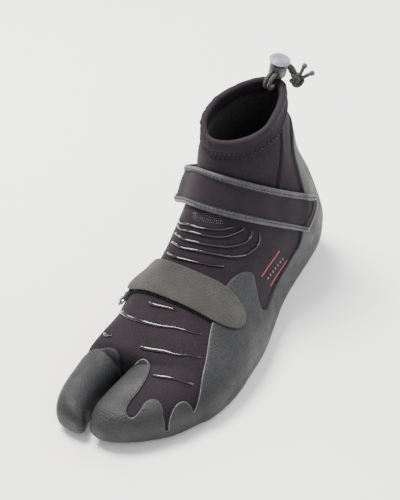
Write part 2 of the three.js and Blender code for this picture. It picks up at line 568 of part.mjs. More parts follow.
// A strand leaves the inside of the hem, bends up and back into the lock's slot, comes out behind
// and bends down to the knot
function strand(side) {
  const matrix = lockMatrix();
  const level = SLOT_UP + SLOT_HEIGHT / 2;
  const x = side * (CORD_RADIUS + GAP);
  const out = BARREL_RADIUS + CORD_RADIUS;
  const points = [new THREE.Vector3(x, -HEM_IN - 2 * GAP, level - 2 * CORD_BEND)];
  for (let k = 0; k <= 4; k++) {
    const turn = (k * Math.PI) / 4;
    points.push(new THREE.Vector3(x, -out - CORD_BEND * Math.sin(turn),
      level - CORD_BEND * (1 + Math.cos(turn))));
  }
  points.push(new THREE.Vector3(x, 0, level));
  const knot = place(KNOT_PLACE).applyMatrix4(matrix.clone().invert());
  const start = new THREE.Vector3(0, out, level);
  const away = knot.clone().sub(start).setY(0).normalize();
  const aside = new THREE.Vector3(-away.z, 0, away.x);
  const spread = (share) => x * aside.x + share * (Math.sign(x * aside.x) * Math.abs(x) - x * aside.x);
  const bend = (turn) => start.clone()
    .addScaledVector(away, x * away.x + CORD_BEND * (1 - Math.cos(turn)))
    .addScaledVector(aside, spread(turn / (Math.PI / 2)))
    .setY(out + CORD_BEND * Math.sin(turn));
  for (let k = 0; k <= 3; k++) points.push(bend((k * Math.PI) / 6));
  const last = points[points.length - 1].clone();
  const left = knot.clone().sub(last).dot(away) - KNOT_RADIUS - GAP;
  points.push(last.addScaledVector(away, Math.max(left, GAP)));
  return tube(points.map((p) => p.applyMatrix4(matrix)), CORD_RADIUS);
}
function knot() {
  const r = KNOT_RADIUS;
  const profile = [[0, -0.92], [0.5, -0.84], [0.88, -0.5], [1, 0], [0.88, 0.5], [0.5, 0.84], [0, 0.92]];
  const geometry = turned([...profile, profile[0]].map(([a, b]) => [a * r, b * r]), 12);
  const at = place(KNOT_PLACE);
  geometry.translate(at.x, at.y, at.z);
  return solidOf(geometry);
}
function cordEnd(tip) {
  const centre = place(KNOT_PLACE);
  const end = place(tip);
  const way = end.clone().sub(centre).normalize();
  const start = centre.clone().addScaledVector(way, KNOT_RADIUS + GAP);
  const middle = start.clone().lerp(end, 0.5);
  return tube([start, middle, end], CORD_RADIUS);
}

const boot = new THREE.Group();
const put = (name, solid, ...look) => boot.add(meshOf(name, solid, ...look));
const NEOPRENE = "#352f36";
const GREY_RUBBER = "#55565a";
const PLASTIC = "#8c8f98";
const CORD = "#5a5c58";
put("outsole", outsole(), "#4c4e50", 0.75);
put("insole", insole(), "#2b2a2c", 0.95);
put("upper", upper(), NEOPRENE, 0.85);
put("rand", rand(), GREY_RUBBER, 0.65);
put("collar_hem", collarHem(), "#3a343b", 0.85);
put("back_tab", backTab(), "#4a454d", 0.8);
put("ankle_strap", ankleStrap(), "#423e45", 0.8);
put("loop_layer", loopLayer(), "#1c1c1d", 0.95);
put("forefoot_strap", forefootStrap(), "#64635e", 0.8);
put("strap_ring", ring(), "#b9bcc2", 0.25, 0.9);
for (const row of RIBS) put(row[0], rib(row), NEOPRENE, 0.25);
put("cord_lock_barrel", lockBarrel(), PLASTIC, 0.4);
put("cord_lock_button", lockButton(), PLASTIC, 0.35);
put("drawcord_1", strand(-1), CORD, 0.85);
put("drawcord_2", strand(1), CORD, 0.85);
put("cord_knot", knot(), CORD, 0.85);
put("cord_end_1", cordEnd(END_PLACES[0]), CORD, 0.85);
put("cord_end_2", cordEnd(END_PLACES[1]), CORD, 0.85);

// The origin goes to the middle of the boot's box on the floor, with the free cord left out
const FREE = ["drawcord_1", "drawcord_2", "cord_knot", "cord_end_1", "cord_end_2"];
const whole = new THREE.Box3();
for (const mesh of boot.children) {
  mesh.geometry.computeBoundingBox();
  if (!FREE.includes(mesh.name)) whole.union(mesh.geometry.boundingBox);
}
const middle = whole.getCenter(new THREE.Vector3());
for (const mesh of boot.children) mesh.geometry.translate(-middle.x, -middle.y, -whole.min.z);

export default boot;
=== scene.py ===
import math

import bpy
import numpy as np
from mathutils import Matrix, Vector
from mathutils.bvhtree import BVHTree


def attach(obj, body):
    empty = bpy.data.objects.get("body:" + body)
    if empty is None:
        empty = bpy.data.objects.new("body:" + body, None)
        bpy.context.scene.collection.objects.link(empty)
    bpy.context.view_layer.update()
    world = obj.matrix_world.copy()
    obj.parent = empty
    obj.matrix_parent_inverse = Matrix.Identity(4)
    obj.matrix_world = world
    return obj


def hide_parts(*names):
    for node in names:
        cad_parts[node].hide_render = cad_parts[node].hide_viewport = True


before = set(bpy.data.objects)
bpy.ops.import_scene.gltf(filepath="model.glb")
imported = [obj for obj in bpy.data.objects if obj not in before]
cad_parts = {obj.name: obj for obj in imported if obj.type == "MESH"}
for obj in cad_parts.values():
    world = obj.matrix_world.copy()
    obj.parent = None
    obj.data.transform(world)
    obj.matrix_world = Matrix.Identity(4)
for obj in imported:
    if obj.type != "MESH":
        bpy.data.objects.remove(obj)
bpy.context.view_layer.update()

# Left split-toe surf boot. Sizes are in millimetres until a piece is made; z is up, the toes point
# to -y, the little toe to +x. "Along" is the distance from the back of the heel.
LENGTH = 272.0
MIDDLE = np.array([1.528, 0.066, 0.0])  # taken off every point, as in the part's source
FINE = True

WALL, GAP, RUBBER = 2.0, 0.3, 1.5
SOLE_THICKNESS, INSOLE_THICKNESS = 4.0, 3.0
LOOP_THICKNESS, WEBBING, ANKLE_BAND = 1.2, 3.2, 3.6
CORD_RADIUS, CORD_BEND, KNOT_RADIUS = 1.3, 5.4, 6.0
BARREL_RADIUS, BARREL_HEIGHT, BORE_RADIUS = 6.2, 10.0, 4.3
STEM_RADIUS, STEM_IN, BUTTON_RADIUS, BUTTON_HEIGHT, BUTTON_LIFT = 4.0, 1.2, 7.5, 3.4, 2.3
SLOT_WIDTH, SLOT_HEIGHT, SLOT_UP, LOCK_TILT = 6.6, 3.8, 3.2, 11.7
HEM_IN = 3.8
LOCK_FOOT = np.array([0.4, 96.0, 162.65])
KNOT_CENTRE = np.array([9.8, 108.0, 155.28])
CORD_TIPS = np.array([[17.5, 105.76, 170.71], [23.76, 105.76, 166.3]])

# Sections of the foot and shaft: near along, near high, far along, far high, inner, outer,
# ridge across, back across, belly, floor, top, dip
FOOT = np.array([
    [218.09, 31.6, 219.99, -1.15, 47.36, 45.05, -8.03, -1.22, 0.49, 3.43, 2.23, 0],
    [214.79, 38, 216.05, -3.45, 49.79, 48.21, -10.53, -0.96, 0.47, 3.63, 2.27, 0],
    [203.65, 44.13, 203.89, -4.67, 49.13, 51.13, -12.03, 1.04, 0.43, 3.62, 2.29, 0],
    [186.87, 52.26, 185.61, -5.88, 46.94, 52.83, -13.3, 3.04, 0.41, 3.61, 2.13, 0],
    [168.89, 62.63, 163.7, -5.26, 46.79, 51.54, -14.65, 3.51, 0.38, 3.49, 2.12, 0],
    [155.94, 71.03, 140.85, -6.01, 44.11, 48.87, -13.95, 3.01, 0.34, 3.29, 1.89, 0],
    [145.77, 80.86, 116.27, -6.14, 43.1, 43.71, -12.55, 0.98, 0.33, 2.98, 1.85, 0],
    [135.89, 92.23, 87.24, -5.64, 43.7, 37.34, -10.98, -2.58, 0.36, 2.97, 1.85, 0],
    [127.18, 102.05, 55.88, -5.12, 44.62, 33.76, -8.62, -5.17, 0.42, 3.17, 1.86, 0],
    [121.43, 110.61, 25.56, -4.39, 45.16, 32.03, -7.5, -6.59, 0.45, 3.15, 1.88, 0],
    [117.83, 116.4, 7.48, -1.38, 45.78, 31.81, -7.42, -7.08, 0.47, 2.9, 1.87, 0],
    [116.17, 119.57, 2.9, 11.68, 45.41, 33.31, -7.32, -6.76, 0.45, 2.58, 1.85, 0],
    [114.86, 121.64, 1.46, 28.38, 45.01, 34.25, -6.25, -6.36, 0.44, 2.19, 1.82, 0],
    [113.96, 125.82, 5.73, 50.62, 43.24, 32.64, -6.41, -5.89, 0.47, 1.98, 1.85, 0],
    [113.46, 129.7, 14.77, 76.77, 39.91, 29.55, -5.66, -4.46, 0.5, 1.9, 1.88, 0],
    [113.71, 133.3, 26.92, 102.47, 36.31, 27.31, -6.03, -3.02, 0.52, 1.74, 1.87, 1],
    [112.28, 137.87, 35.05, 126.24, 32.53, 25.32, -6.66, -0.39, 0.54, 1.79, 1.85, 1.5],
    [110.66, 143, 39.19, 145.34, 29.86, 22.37, -7.84, 1.59, 0.57, 1.84, 1.83, 1.5],
    [109.2, 152.13, 39.89, 167.3, 28.31, 19.23, -10.89, -0.27, 0.63, 1.77, 1.97, 1],
])
# Sections of the toe pockets: along, low, high, inner, outer, belly, floor, top
BIG_TOE = np.array([
    [195.21, -0.99, 33.39, -46.79, -14.03, 0.44, 3.19, 2.18],
    [211.86, -2.7, 31.96, -49.57, -18.91, 0.45, 3.4, 2.12],
    [227.46, -2.42, 27.59, -48.42, -21.78, 0.45, 3.41, 2.15],
    [244.46, -1.44, 25.82, -46.12, -22.7, 0.46, 3.42, 2.16],
    [256.64, 0.56, 24.88, -42.7, -21.4, 0.47, 3.34, 2.21],
    [264.2, 2.64, 23.58, -38.85, -18.4, 0.48, 3.06, 2.25],
    [268.79, 4.55, 20.7, -34.97, -16.4, 0.49, 2.68, 2.19],
    [270.39, 6.84, 17.06, -29.05, -17.2, 0.49, 2.27, 2.02],
])
LESSER_TOES = np.array([
    [195.69, -1.24, 37.98, -11.94, 46.64, 0.42, 3.21, 2.2],
    [211.73, -2.31, 37.1, -12.01, 47.32, 0.43, 3.39, 2.2],
    [226.64, -1.34, 33.73, -13.08, 42.16, 0.45, 3.36, 2.3],
    [239.34, 0.19, 31.35, -13.88, 35.77, 0.47, 3.34, 2.3],
    [250.9, 2.73, 28.94, -13.8, 26.47, 0.48, 3.22, 2.3],
    [259.61, 5.18, 26.47, -12.41, 17.79, 0.49, 2.91, 2.3],
    [265.25, 6.96, 22.45, -10.3, 9.46, 0.49, 2.51, 2.2],
    [268.36, 8.52, 18.37, -8.5, 2.43, 0.5, 2.12, 2],
])
# Underside of the sole, [along, high]
UNDERSIDE = np.array([
    (-10, 1.6), (0, 1.2), (6, .3), (12, 0), (36, 0), (60, 0), (75, .5), (95, 1.4), (115, 1.4),
    (135, .6), (150, 0), (175, 0), (200, 0), (212, .2), (226, 1), (240, 2.3), (254, 4), (268, 6),
    (280, 8), (290, 9.8),
])
# Edges of the rubber from the side, [along, high], then the corners that close them far outside
RAND_OUTER = [
    (245, 12), (234, 12), (228, 15.5), (218.7, 25.2), (208.8, 32.6), (188.1, 43.6), (177.5, 49.8),
    (163, 57.6), (149.9, 61.8), (143.4, 63.9), (135.8, 64.3), (130.1, 62.6), (127.2, 59.7),
    (127.9, 56.2), (134.1, 44.5), (135.5, 39.3), (132.6, 35.4), (127.8, 33.7), (106.2, 36.6),
    (73.9, 40.6), (66.5, 42), (62.3, 45.5), (59.6, 52), (60, 70), (61.4, 106), (59.4, 123.7),
    (56, 129.4), (46, 134.2), (28, 136.6),
]
RAND_INNER = [
    (245, 16.5), (232, 16.5), (214, 16), (196, 17.5), (184, 24), (176, 33), (168, 38), (158, 39.5),
    (150, 36.5), (142, 30.5), (128, 28), (100, 29.5), (77.5, 33), (68, 37.5), (62.3, 45.5),
    (59.6, 52), (60, 70), (61.4, 106), (59.4, 123.7), (56, 129.4), (46, 134.2), (28, 136.6),
]
RAND_CORNERS = [(-40, 137), (-40, -20), (300, -20), (300, 12)]
# Edges of the toe caps from above, [across, along], and their outer corners
BIG_CAP = [
    (-52, 225.3), (-48, 224.8), (-43.2, 221.3), (-38.5, 217.9), (-31.7, 216.4), (-25.4, 216.2),
    (-20.3, 217.6), (-17.9, 219.1), (-14.8, 219.6),
]
BIG_CORNERS = [(-14.8, 300), (-70, 300), (-70, 227)]
LESSER_CAPS = [
    (-14.9, 219.4), (-9.6, 219.2), (-5.9, 217.4), (-0.9, 215.5), (3.6, 216.2), (6.2, 219.5),
    (8.7, 227.2), (9.9, 238.2), (9.3, 249.3), (10.4, 254.6), (13.4, 256.9), (16.2, 255.4),
    (17.6, 250.4), (17.9, 243.9), (20.6, 239.6), (25, 238.6), (29.2, 240.9), (31.3, 243.4),
    (32.6, 243.9), (33.6, 242), (33.8, 238.9), (34.3, 232.8), (36.7, 227.9), (40.5, 225.8),
    (45, 225.6), (52, 225.6),
]
LESSER_CORNERS = [(70, 225.6), (70, 300), (-14.9, 300)]
# Straps from the side, [along, high]
FOREFOOT_STRAP = [
    (179.5, 74), (177.8, 61), (176.3, 56), (174.6, 50.5), (171, 46.3), (165, 43.8), (158, 44),
    (153.5, 47), (151.3, 53), (151, 62.7), (154.3, 69), (156.3, 73), (158, 84),
]
LOOP_LAYER = [
    (183, 74), (179.2, 60), (177.4, 55.5), (175.8, 50.8), (171.5, 46.3), (162, 46.3), (156.3, 52),
    (155.3, 62), (157.8, 74), (160, 84),
]
STRAP_FOOT = 47.0
HEM_LOW = np.array([
    (-20, 153.5), (40, 151.4), (58, 148.2), (75.4, 143.8), (93.2, 140.5), (104.7, 138),
    (112, 137.5), (130, 133.5), (330, 125),
])
HEM_TOP = np.array([
    (-20, 169), (40, 161.3), (75, 156.3), (110, 147.6), (130, 147.2), (330, 120),
])
# Raised ribs from above: width, share of the width at the outer end, [across, along]
RIBS = {
    "forefoot_rib_1": (2.8, 0.7, [
        (-19.7, 182.6), (-13, 182.9), (-3.8, 181.5), (3.7, 180.6),
    ]),
    "forefoot_rib_2": (3.2, 0.55, [
        (-39.3, 188.4), (-26.7, 194.8), (-14, 195.3), (-2, 193.7), (7.9, 190.7), (18.4, 188.1),
        (26.4, 185),
    ]),
    "forefoot_rib_3": (3.2, 0.5, [
        (-8.8, 211.3), (1.3, 209.3), (10, 207), (17.1, 205.6), (24.9, 202), (33.4, 198.2),
    ]),
    "forefoot_rib_4": (2.9, 0.6, [
        (9.9, 224.5), (17.6, 222.4), (25.9, 219.7), (32.5, 217.8), (38.3, 215.2),
    ]),
    "medial_rib": (2.6, 0.6, [
        (-40.9, 206.8), (-34.9, 209.9), (-31, 208.7),
    ]),
    "instep_rib_1": (2.2, 0.6, [
        (-24.9, 148.5), (-16.6, 152.3), (-6, 151.5), (2.8, 149.3), (10.2, 146.4), (17.5, 141.3),
    ]),
    "instep_rib_2": (2.2, 0.6, [
        (-24.8, 142.3), (-14.1, 147), (-3.1, 145.3), (7.3, 141.5), (17, 135), (22.7, 126.3),
        (24.9, 117.7), (25.8, 111.3), (25.1, 107.7), (23.8, 105.8),
    ]),
    "instep_rib_3": (2.1, 0.6, [
        (-25.2, 137.1), (-14.7, 142.8), (-3.4, 141.7), (4.1, 139), (12.6, 133.5), (16.7, 128.3),
        (20.1, 121.7), (21.8, 115.2), (21.2, 111.8), (20, 112.1),
    ]),
    "instep_rib_4": (2, 0.7, [
        (-26.7, 131.7), (-17.3, 138.4), (-6.2, 138.4), (3.7, 135), (10.5, 129.7), (15.2, 122.4),
        (18.3, 115.3),
    ]),
    "instep_rib_5": (2, 0.7, [
        (-27.1, 128.6), (-19.7, 134.6), (-7.6, 136), (0.8, 133.1), (6.7, 129.4), (13.2, 122),
    ]),
}


# The camera stands where the photograph was taken from
def photo_camera():
    turn, rise, roll = (math.radians(v) for v in (33.49, 39.342, -2.5))
    target = np.array([0.0, -4.0, 60.0]) - MIDDLE
    away = np.array([math.sin(turn) * math.cos(rise), -math.cos(turn) * math.cos(rise), math.sin(rise)])
    level = np.array([math.cos(turn), math.sin(turn), 0.0])
    upright = np.cross(away, level)
    right = math.cos(roll) * level + math.sin(roll) * upright
    up = math.cos(roll) * upright - math.sin(roll) * level
    data = bpy.data.cameras.new("camera")
    # In pixels: the picture's sides, the length of view and the point straight ahead
    wide, tall, focal, centre = 400, 500, 1300.5, (204.665, 269.654)
    data.lens = data.sensor_width * focal / tall
    data.shift_x = -(centre[0] - wide / 2) / tall
    data.shift_y = (centre[1] - tall / 2) / tall
    data.clip_start, data.clip_end = 0.05, 20
    camera = bpy.data.objects.new("camera", data)
    bpy.context.scene.collection.objects.link(camera)
    distance = 900
    place = (target + distance * away) / 1000
    camera.matrix_world = Matrix(np.column_stack([right, up, away, place]).tolist() + [[0, 0, 0, 1]])
    bpy.context.scene.camera = camera


photo_camera()


# Small tools for points and faces
def unit(v):
    return v / np.maximum(np.linalg.norm(v, axis=-1, keepdims=True), 1e-9)


def step(low, high, value):
    t = np.clip((value - low) / (high - low), 0, 1)
    return t * t * (3 - 2 * t)


def through(rows, where):
    """A smooth run of values through the rows of a table."""
    rows = np.asarray(rows, float)
    last = len(rows) - 1
    where = np.clip(np.asarray(where, float), 0, last)
    k = np.minimum(where.astype(int), last - 1)
    s = (where - k)[:, None]
    p0, p1, p2, p3 = (rows[np.clip(k + j, 0, last)] for j in (-1, 0, 1, 2))
    return p1 + 0.5 * s * (p2 - p0 + s * (2 * p0 - 5 * p1 + 4 * p2 - p3 + s * (3 * (p1 - p2) + p3 - p0)))


def curve_through(points, spacing, closed=False):
    """Evenly spaced points on a centripetal curve through the given ones."""
    p = np.asarray(points, float)
    ends = [p[-1], p[0], p[1]] if closed else [2 * p[0] - p[1], 2 * p[-1] - p[-2]]
    p = np.vstack([ends[0], p, ends[1:]])
    out = []
    for a, b, c, d in zip(p, p[1:], p[2:], p[3:]):
        t1 = np.linalg.norm(b - a) ** .5 + 1e-9
        t2 = t1 + np.linalg.norm(c - b) ** .5 + 1e-9
        t3 = t2 + np.linalg.norm(d - c) ** .5 + 1e-9
        t = np.linspace(t1, t2, 24, endpoint=False)[:, None]
        ab = (t1 - t) / t1 * a + t / t1 * b
        bc = (t2 - t) / (t2 - t1) * b + (t - t1) / (t2 - t1) * c
        cd = (t3 - t) / (t3 - t2) * c + (t - t2) / (t3 - t2) * d
        first = (t2 - t) / t2 * ab + t / t2 * bc
        second = (t3 - t) / (t3 - t1) * bc + (t - t1) / (t3 - t1) * cd
        out.append((first * (t2 - t) + second * (t - t1)) / (t2 - t1))
    dense = np.vstack(out + [p[1 if closed else -2][None]])
    run = np.concatenate([[0], np.cumsum(np.linalg.norm(np.diff(dense, axis=0), axis=1))])
    count = max(int(round(run[-1] / spacing)), 2)
    even = np.linspace(0, run[-1], count + 1)
    made = np.stack([np.interp(even, run, dense[:, k]) for k in range(dense.shape[1])], 1)
    return made[:-1] if closed else made


def loft(rings, caps=True):
    """Faces between rings of points, facing out, with a fan on each end."""
    rings = np.asarray(rings, float)
    n, m = rings.shape[:2]
    i, j = np.meshgrid(np.arange(n - 1), np.arange(m), indexing="ij")
    a, b = i * m + j, i * m + (j + 1) % m
    faces = [np.stack([a, b, b + m, a + m], -1).reshape(-1, 4)]
    points = rings.reshape(-1, 3)
    if caps:
        points = np.vstack([points, rings[0].mean(0), rings[-1].mean(0)])
        j = np.arange(m)
        k = (j + 1) % m
        o = (n - 1) * m
        first, last = np.full(m, n * m), np.full(m, n * m + 1)
        faces.append(np.stack([first, k, j, j], 1))
        faces.append(np.stack([last, o + j, o + k, o + k], 1))
    faces = np.vstack(faces)
    return points, facing_out(points, faces) if caps else faces


def facing_out(points, faces):
    """The faces of a closed form, turned over if they face in."""
    tri = triangles(faces)
    volume = (points[tri[:, 0]] * np.cross(points[tri[:, 1]], points[tri[:, 2]])).sum()
    return faces if volume > 0 else faces[:, ::-1]


def together(*pieces):
    """Several (points, faces) as one."""
    points, faces, total = [], [], 0
    for p, f in pieces:
        points.append(p)
        faces.append(f + total)
        total += len(p)
    return np.vstack(points), np.vstack(faces)


def triangles(faces):
    if faces.shape[1] == 3:
        return faces
    both = np.vstack([faces[:, [0, 1, 2]], faces[:, [0, 2, 3]]])
    same = (both[:, 0] == both[:, 1]) | (both[:, 1] == both[:, 2]) | (both[:, 0] == both[:, 2])
    return both[~same]


def normals_of(points, faces):
    tri = triangles(faces)
    n = np.cross(points[tri[:, 1]] - points[tri[:, 0]], points[tri[:, 2]] - points[tri[:, 0]])
    out = np.zeros_like(points)
    for k in range(3):
        np.add.at(out, tri[:, k], n)
    return unit(out)


def sweep(path, radii, sides=12, flat=1.0, up=None):
    """A closed tube along a path."""
    path = np.asarray(path, float)
    radii = np.broadcast_to(np.asarray(radii, float), (len(path),))
    ahead = unit(np.gradient(path, axis=0))
    if up is None:
        seed = np.array([0.0, 0.0, 1.0]) if abs(ahead[0][2]) < .9 else np.array([1.0, 0.0, 0.0])
        ups = []
        for t in ahead:
            seed = unit(seed - t * (seed @ t))
            ups.append(seed)
        ups = np.array(ups)
    else:
        ups = unit(up - ahead * np.einsum("ij,ij->i", up, ahead)[:, None])
    across = np.cross(ahead, ups)
    a = np.linspace(0, 2 * np.pi, sides, endpoint=False)
    rings = path[:, None] + radii[:, None, None] * (
        np.cos(a)[None, :, None] * across[:, None] + flat * np.sin(a)[None, :, None] * ups[:, None])
    return loft(rings)


def turned(profile, sides=48):
    """A closed lathe form from [radius, height] pairs that start and end on the axis."""
    a = np.linspace(0, 2 * np.pi, sides, endpoint=False)
    around = np.stack([np.cos(a), np.sin(a), np.zeros(sides)], 1)
    return loft([max(r, 1e-4) * around + [0, 0, z] for r, z in profile])


def rounded(profile, radius=.3, steps=3):
    """A lathe profile with each inner corner rounded."""
    p = np.asarray(profile, float)
    out = [p[0]]
    for a, b, c in zip(p, p[1:], p[2:]):
        r = min(radius, np.linalg.norm(a - b) / 2.2, np.linalg.norm(c - b) / 2.2)
        start, end = b + unit(a - b) * r, b + unit(c - b) * r
        for t in np.linspace(0, 1, steps + 1):
            out.append((1 - t) ** 2 * start + 2 * t * (1 - t) * b + t * t * end)
    return np.array(out + [p[-1]])


# Cords, first
def lock_matrix():
    t = math.radians(LOCK_TILT)
    turn = np.array([[math.cos(t), 0, math.sin(t)], [0, 1, 0], [-math.sin(t), 0, math.cos(t)]])
    return turn, LOCK_FOOT


def on_lock(points):
    turn, foot = lock_matrix()
    return np.asarray(points, float) @ turn.T + foot


def strand_route(side, tip):
    """Out of the inside of the hem, up through the lock, down into the knot and out to its tip."""
    turn, foot = lock_matrix()
    level = SLOT_UP + SLOT_HEIGHT / 2
    x = side * (CORD_RADIUS + GAP)
    out = BARREL_RADIUS + CORD_RADIUS
    points = [(x, -HEM_IN - 2 * GAP, level - 2 * CORD_BEND)]
    for t in np.linspace(0, math.pi, 5):
        points.append((x, -out - CORD_BEND * math.sin(t), level - CORD_BEND * (1 + math.cos(t))))
    points.append((x, 0, level))
    knot = (KNOT_CENTRE - foot) @ turn
    start = np.array([0, out, level])
    away = unit((knot - start) * [1, 0, 1])
    aside = np.array([-away[2], 0, away[0]])
    first = x * aside[0]
    for t in np.linspace(0, math.pi / 2, 4):
        share = t / (math.pi / 2)
        p = start + away * (x * away[0] + CORD_BEND * (1 - math.cos(t))) \
            + aside * (first + share * (math.copysign(abs(x), first) - first))
        p[1] = out + CORD_BEND * math.sin(t)
        points.append(p)
    left = (knot - points[-1]) @ away - KNOT_RADIUS - GAP
    points.append(points[-1] + away * max(left, GAP))
    world = list(on_lock(points))
    way = unit(tip - KNOT_CENTRE)
    knot_end = KNOT_CENTRE + way * (KNOT_RADIUS + GAP)
    inside = KNOT_CENTRE + unit(world[-1] - KNOT_CENTRE) * 2.2 + way * 1.2
    return curve_through(world + [inside, knot_end, (knot_end + tip) / 2, tip], 1.0)


# Materials
def linear(code):
    """A hex colour as linear values."""
    parts = [int(code[i:i + 2], 16) / 255 for i in (1, 3, 5)]
    return tuple(c / 12.92 if c <= .04045 else ((c + .055) / 1.055) ** 2.4 for c in parts) + (1.0,)


def add(tree, kind, inputs=None, **settings):
    """A node with its settings, and its inputs as values or as links from other nodes' outputs."""
    node = tree.nodes.new("ShaderNode" + kind)
    for name, value in settings.items():
        setattr(node, name, value)
    for name, value in (inputs or {}).items():
        if isinstance(value, bpy.types.NodeSocket):
            tree.links.new(value, node.inputs[name])
        else:
            node.inputs[name].default_value = value
    return node


def surface(name, colour, roughness, **sockets):
    """A material, its nodes, its shader and the place on the piece; _ stands for a space."""
    material = bpy.data.materials.new(name)
    material.use_nodes = True
    material.diffuse_color = linear(colour)
    tree = material.node_tree
    tree.nodes.clear()
    values = {key.replace("_", " "): value for key, value in sockets.items()}
    shader = add(tree, "BsdfPrincipled", {"Base Color": linear(colour), "Roughness": roughness, **values})
    add(tree, "OutputMaterial", {"Surface": shader.outputs[0]})
    return material, tree, shader, add(tree, "TexCoord").outputs["Object"]


def clouds(tree, place, size_mm, detail):
    inputs = {"Vector": place, "Scale": 1000 / size_mm, "Detail": detail}
    return add(tree, "TexNoise", inputs).outputs[0]


def cell_pattern(tree, place, size_mm, randomness=1.0, distance="EUCLIDEAN"):
    """Distance from the middles of cells of a size."""
    inputs = {"Vector": place, "Scale": 1000 / size_mm, "Randomness": randomness}
    return add(tree, "TexVoronoi", inputs, distance=distance).outputs["Distance"]


def graded(tree, value, low, high, first, last):
    inputs = {"Value": value, "From Min": low, "From Max": high, "To Min": first, "To Max": last}
    return add(tree, "MapRange", inputs).outputs[0]


def mixed(tree, share, first, second):
    """Two colours by a share; each is a hex code or another node's output."""
    pair = [c if isinstance(c, bpy.types.NodeSocket) else linear(c) for c in (first, second)]
    return add(tree, "Mix", {0: share, 6: pair[0], 7: pair[1]}, data_type="RGBA").outputs[2]


def patch_mix(tree, place, size_mm, first, second, detail=3.0):
    """Two colours in soft patches of a size."""
    share = graded(tree, clouds(tree, place, size_mm, detail), .35, .65, 0.0, 1.0)
    return mixed(tree, share, first, second)


def paint(tree, shader, colour):
    tree.links.new(colour, shader.inputs["Base Color"])


def roughen(tree, shader, share, low, high, smooth, rough):
    tree.links.new(graded(tree, share, low, high, smooth, rough), shader.inputs["Roughness"])


def relief(tree, shader, height, depth_mm, under=None):
    inputs = {"Height": height, "Distance": depth_mm / 1000, "Strength": 1.0}
    if under is not None:
        inputs["Normal"] = under
    bump = add(tree, "Bump", inputs).outputs[0]
    tree.links.new(bump, shader.inputs["Normal"])
    return bump


# Jersey-faced neoprene: knitted nylon glued to foam. Dark aubergine, matt, with a faint sheen; the
# knit is 0.5 mm a stitch and is drawn at 1.1 mm so that it shows.
def neoprene_jersey(name="neoprene_jersey", dark="#0f0b0f", light="#1a141a"):
    material, tree, shader, place = surface(name, dark, .8, Sheen_Weight=.03, Sheen_Roughness=.4,
                                            Sheen_Tint=linear("#8a8488"), Specular_IOR_Level=.14)
    knit = cell_pattern(tree, place, 1.1, .8)
    paint(tree, shader, mixed(tree, knit, patch_mix(tree, place, 16, dark, light), "#241e24"))
    under = relief(tree, shader, knit, .12)
    relief(tree, shader, clouds(tree, place, 22, 1.5), .9, under)
    return material


# Moulded chloroprene rubber, embossed like cloth: dark grey and nearly matt, with dark pits. The
# emboss is 0.8 mm a dot, drawn at 1.15 mm. A thin line follows its cut edge: near black painted
# shade where a groove would be, and pale dried glue by the lesser toes.
def moulded_rubber(name="moulded_rubber", dark="#1e1f21", light="#2c2d2f", edge=True):
    material, tree, shader, place = surface(name, dark, .62, Specular_IOR_Level=.3, IOR=1.52)
    emboss = cell_pattern(tree, place, 1.15, .75)
    pits = graded(tree, emboss, .15, .75, 0.0, .8)
    colour = mixed(tree, pits, patch_mix(tree, place, 28, dark, light, 4), "#121315")
    if edge:
        rim = add(tree, "Attribute", attribute_name="from_edge").outputs["Fac"]
        glue = add(tree, "Attribute", attribute_name="glue").outputs["Fac"]
        wave = clouds(tree, place, 6, 2.0)
        reach = add(tree, "Math", {0: wave, 1: .2}, operation="MULTIPLY").outputs[0]
        share = add(tree, "Math", {0: rim, 1: .3, 2: reach}, operation="COMPARE").outputs[0]
        # The edge line: painted shade (near black) where there is no glue, pale glue by the lesser toes
        colour = mixed(tree, share, colour, mixed(tree, glue, "#161517", "#63625e"))
    paint(tree, shader, colour)
    relief(tree, shader, emboss, -.3)
    roughen(tree, shader, clouds(tree, place, 12, 4.0), .3, .7, .52, .72)
    return material


# Terry-lined neoprene inside the shaft: brown black pile, with soft ribs about 10 mm apart
def pile_lining():
    material, tree, shader, place = surface("pile_lining", "#141114", .95, Sheen_Weight=.2,
                                            Specular_IOR_Level=.2)
    paint(tree, shader, patch_mix(tree, place, 1.6, "#0f0c0f", "#2b2320"))
    inputs = {"Vector": place, "Scale": 30.622, "Distortion": 1.0}
    relief(tree, shader, add(tree, "TexWave", inputs, bands_direction="X").outputs["Fac"], .6)
    return material


# EVA footbed foam, die-cut: charcoal, fine open cells of about 1 mm
def footbed_foam():
    material, tree, shader, place = surface("footbed_foam", "#232225", .95, Specular_IOR_Level=.2)
    paint(tree, shader, patch_mix(tree, place, 9, "#1d1c1f", "#2c2b2e"))
    relief(tree, shader, cell_pattern(tree, place, 1), .25)
    return material


# Woven nylon webbing: warm grey, matt, with dark gaps; yarns of 0.6 mm, drawn 1.1 mm wide
def woven_webbing():
    material, tree, shader, place = surface("woven_webbing", "#3e3e3b", .78, Specular_IOR_Level=.3,
                                            Sheen_Weight=.1)
    yarns = cell_pattern(tree, place, 1.1, .5, "CHEBYCHEV")
    gaps = graded(tree, yarns, .2, .6, 0.0, .85)
    paint(tree, shader, mixed(tree, gaps, patch_mix(tree, place, 18, "#2d2d2b", "#393936"), "#1f1f1d"))
    relief(tree, shader, yarns, -.35)
    return material


# Knitted loop tape: black nylon loops, rough, with grey flecks about 1.5 mm apart
def loop_tape():
    material, tree, shader, place = surface("loop_tape", "#111112", .95, Specular_IOR_Level=.2)
    loops = cell_pattern(tree, place, 1.5)
    paint(tree, shader, mixed(tree, graded(tree, loops, .15, .3, .7, 0.0), "#0d0d0e", "#4c4c4c"))
    relief(tree, shader, loops, -.5)
    return material


# Folded nylon binding tape, woven: dark grey, a fine grain drawn at 0.9 mm, a little shine
def binding_tape():
    material, tree, shader, place = surface("binding_tape", "#494a4d", .6, Specular_IOR_Level=.4,
                                            Sheen_Weight=.1)
    paint(tree, shader, patch_mix(tree, place, 5, "#28292c", "#38393c"))
    relief(tree, shader, clouds(tree, place, .9, 2.0), .3)
    return material


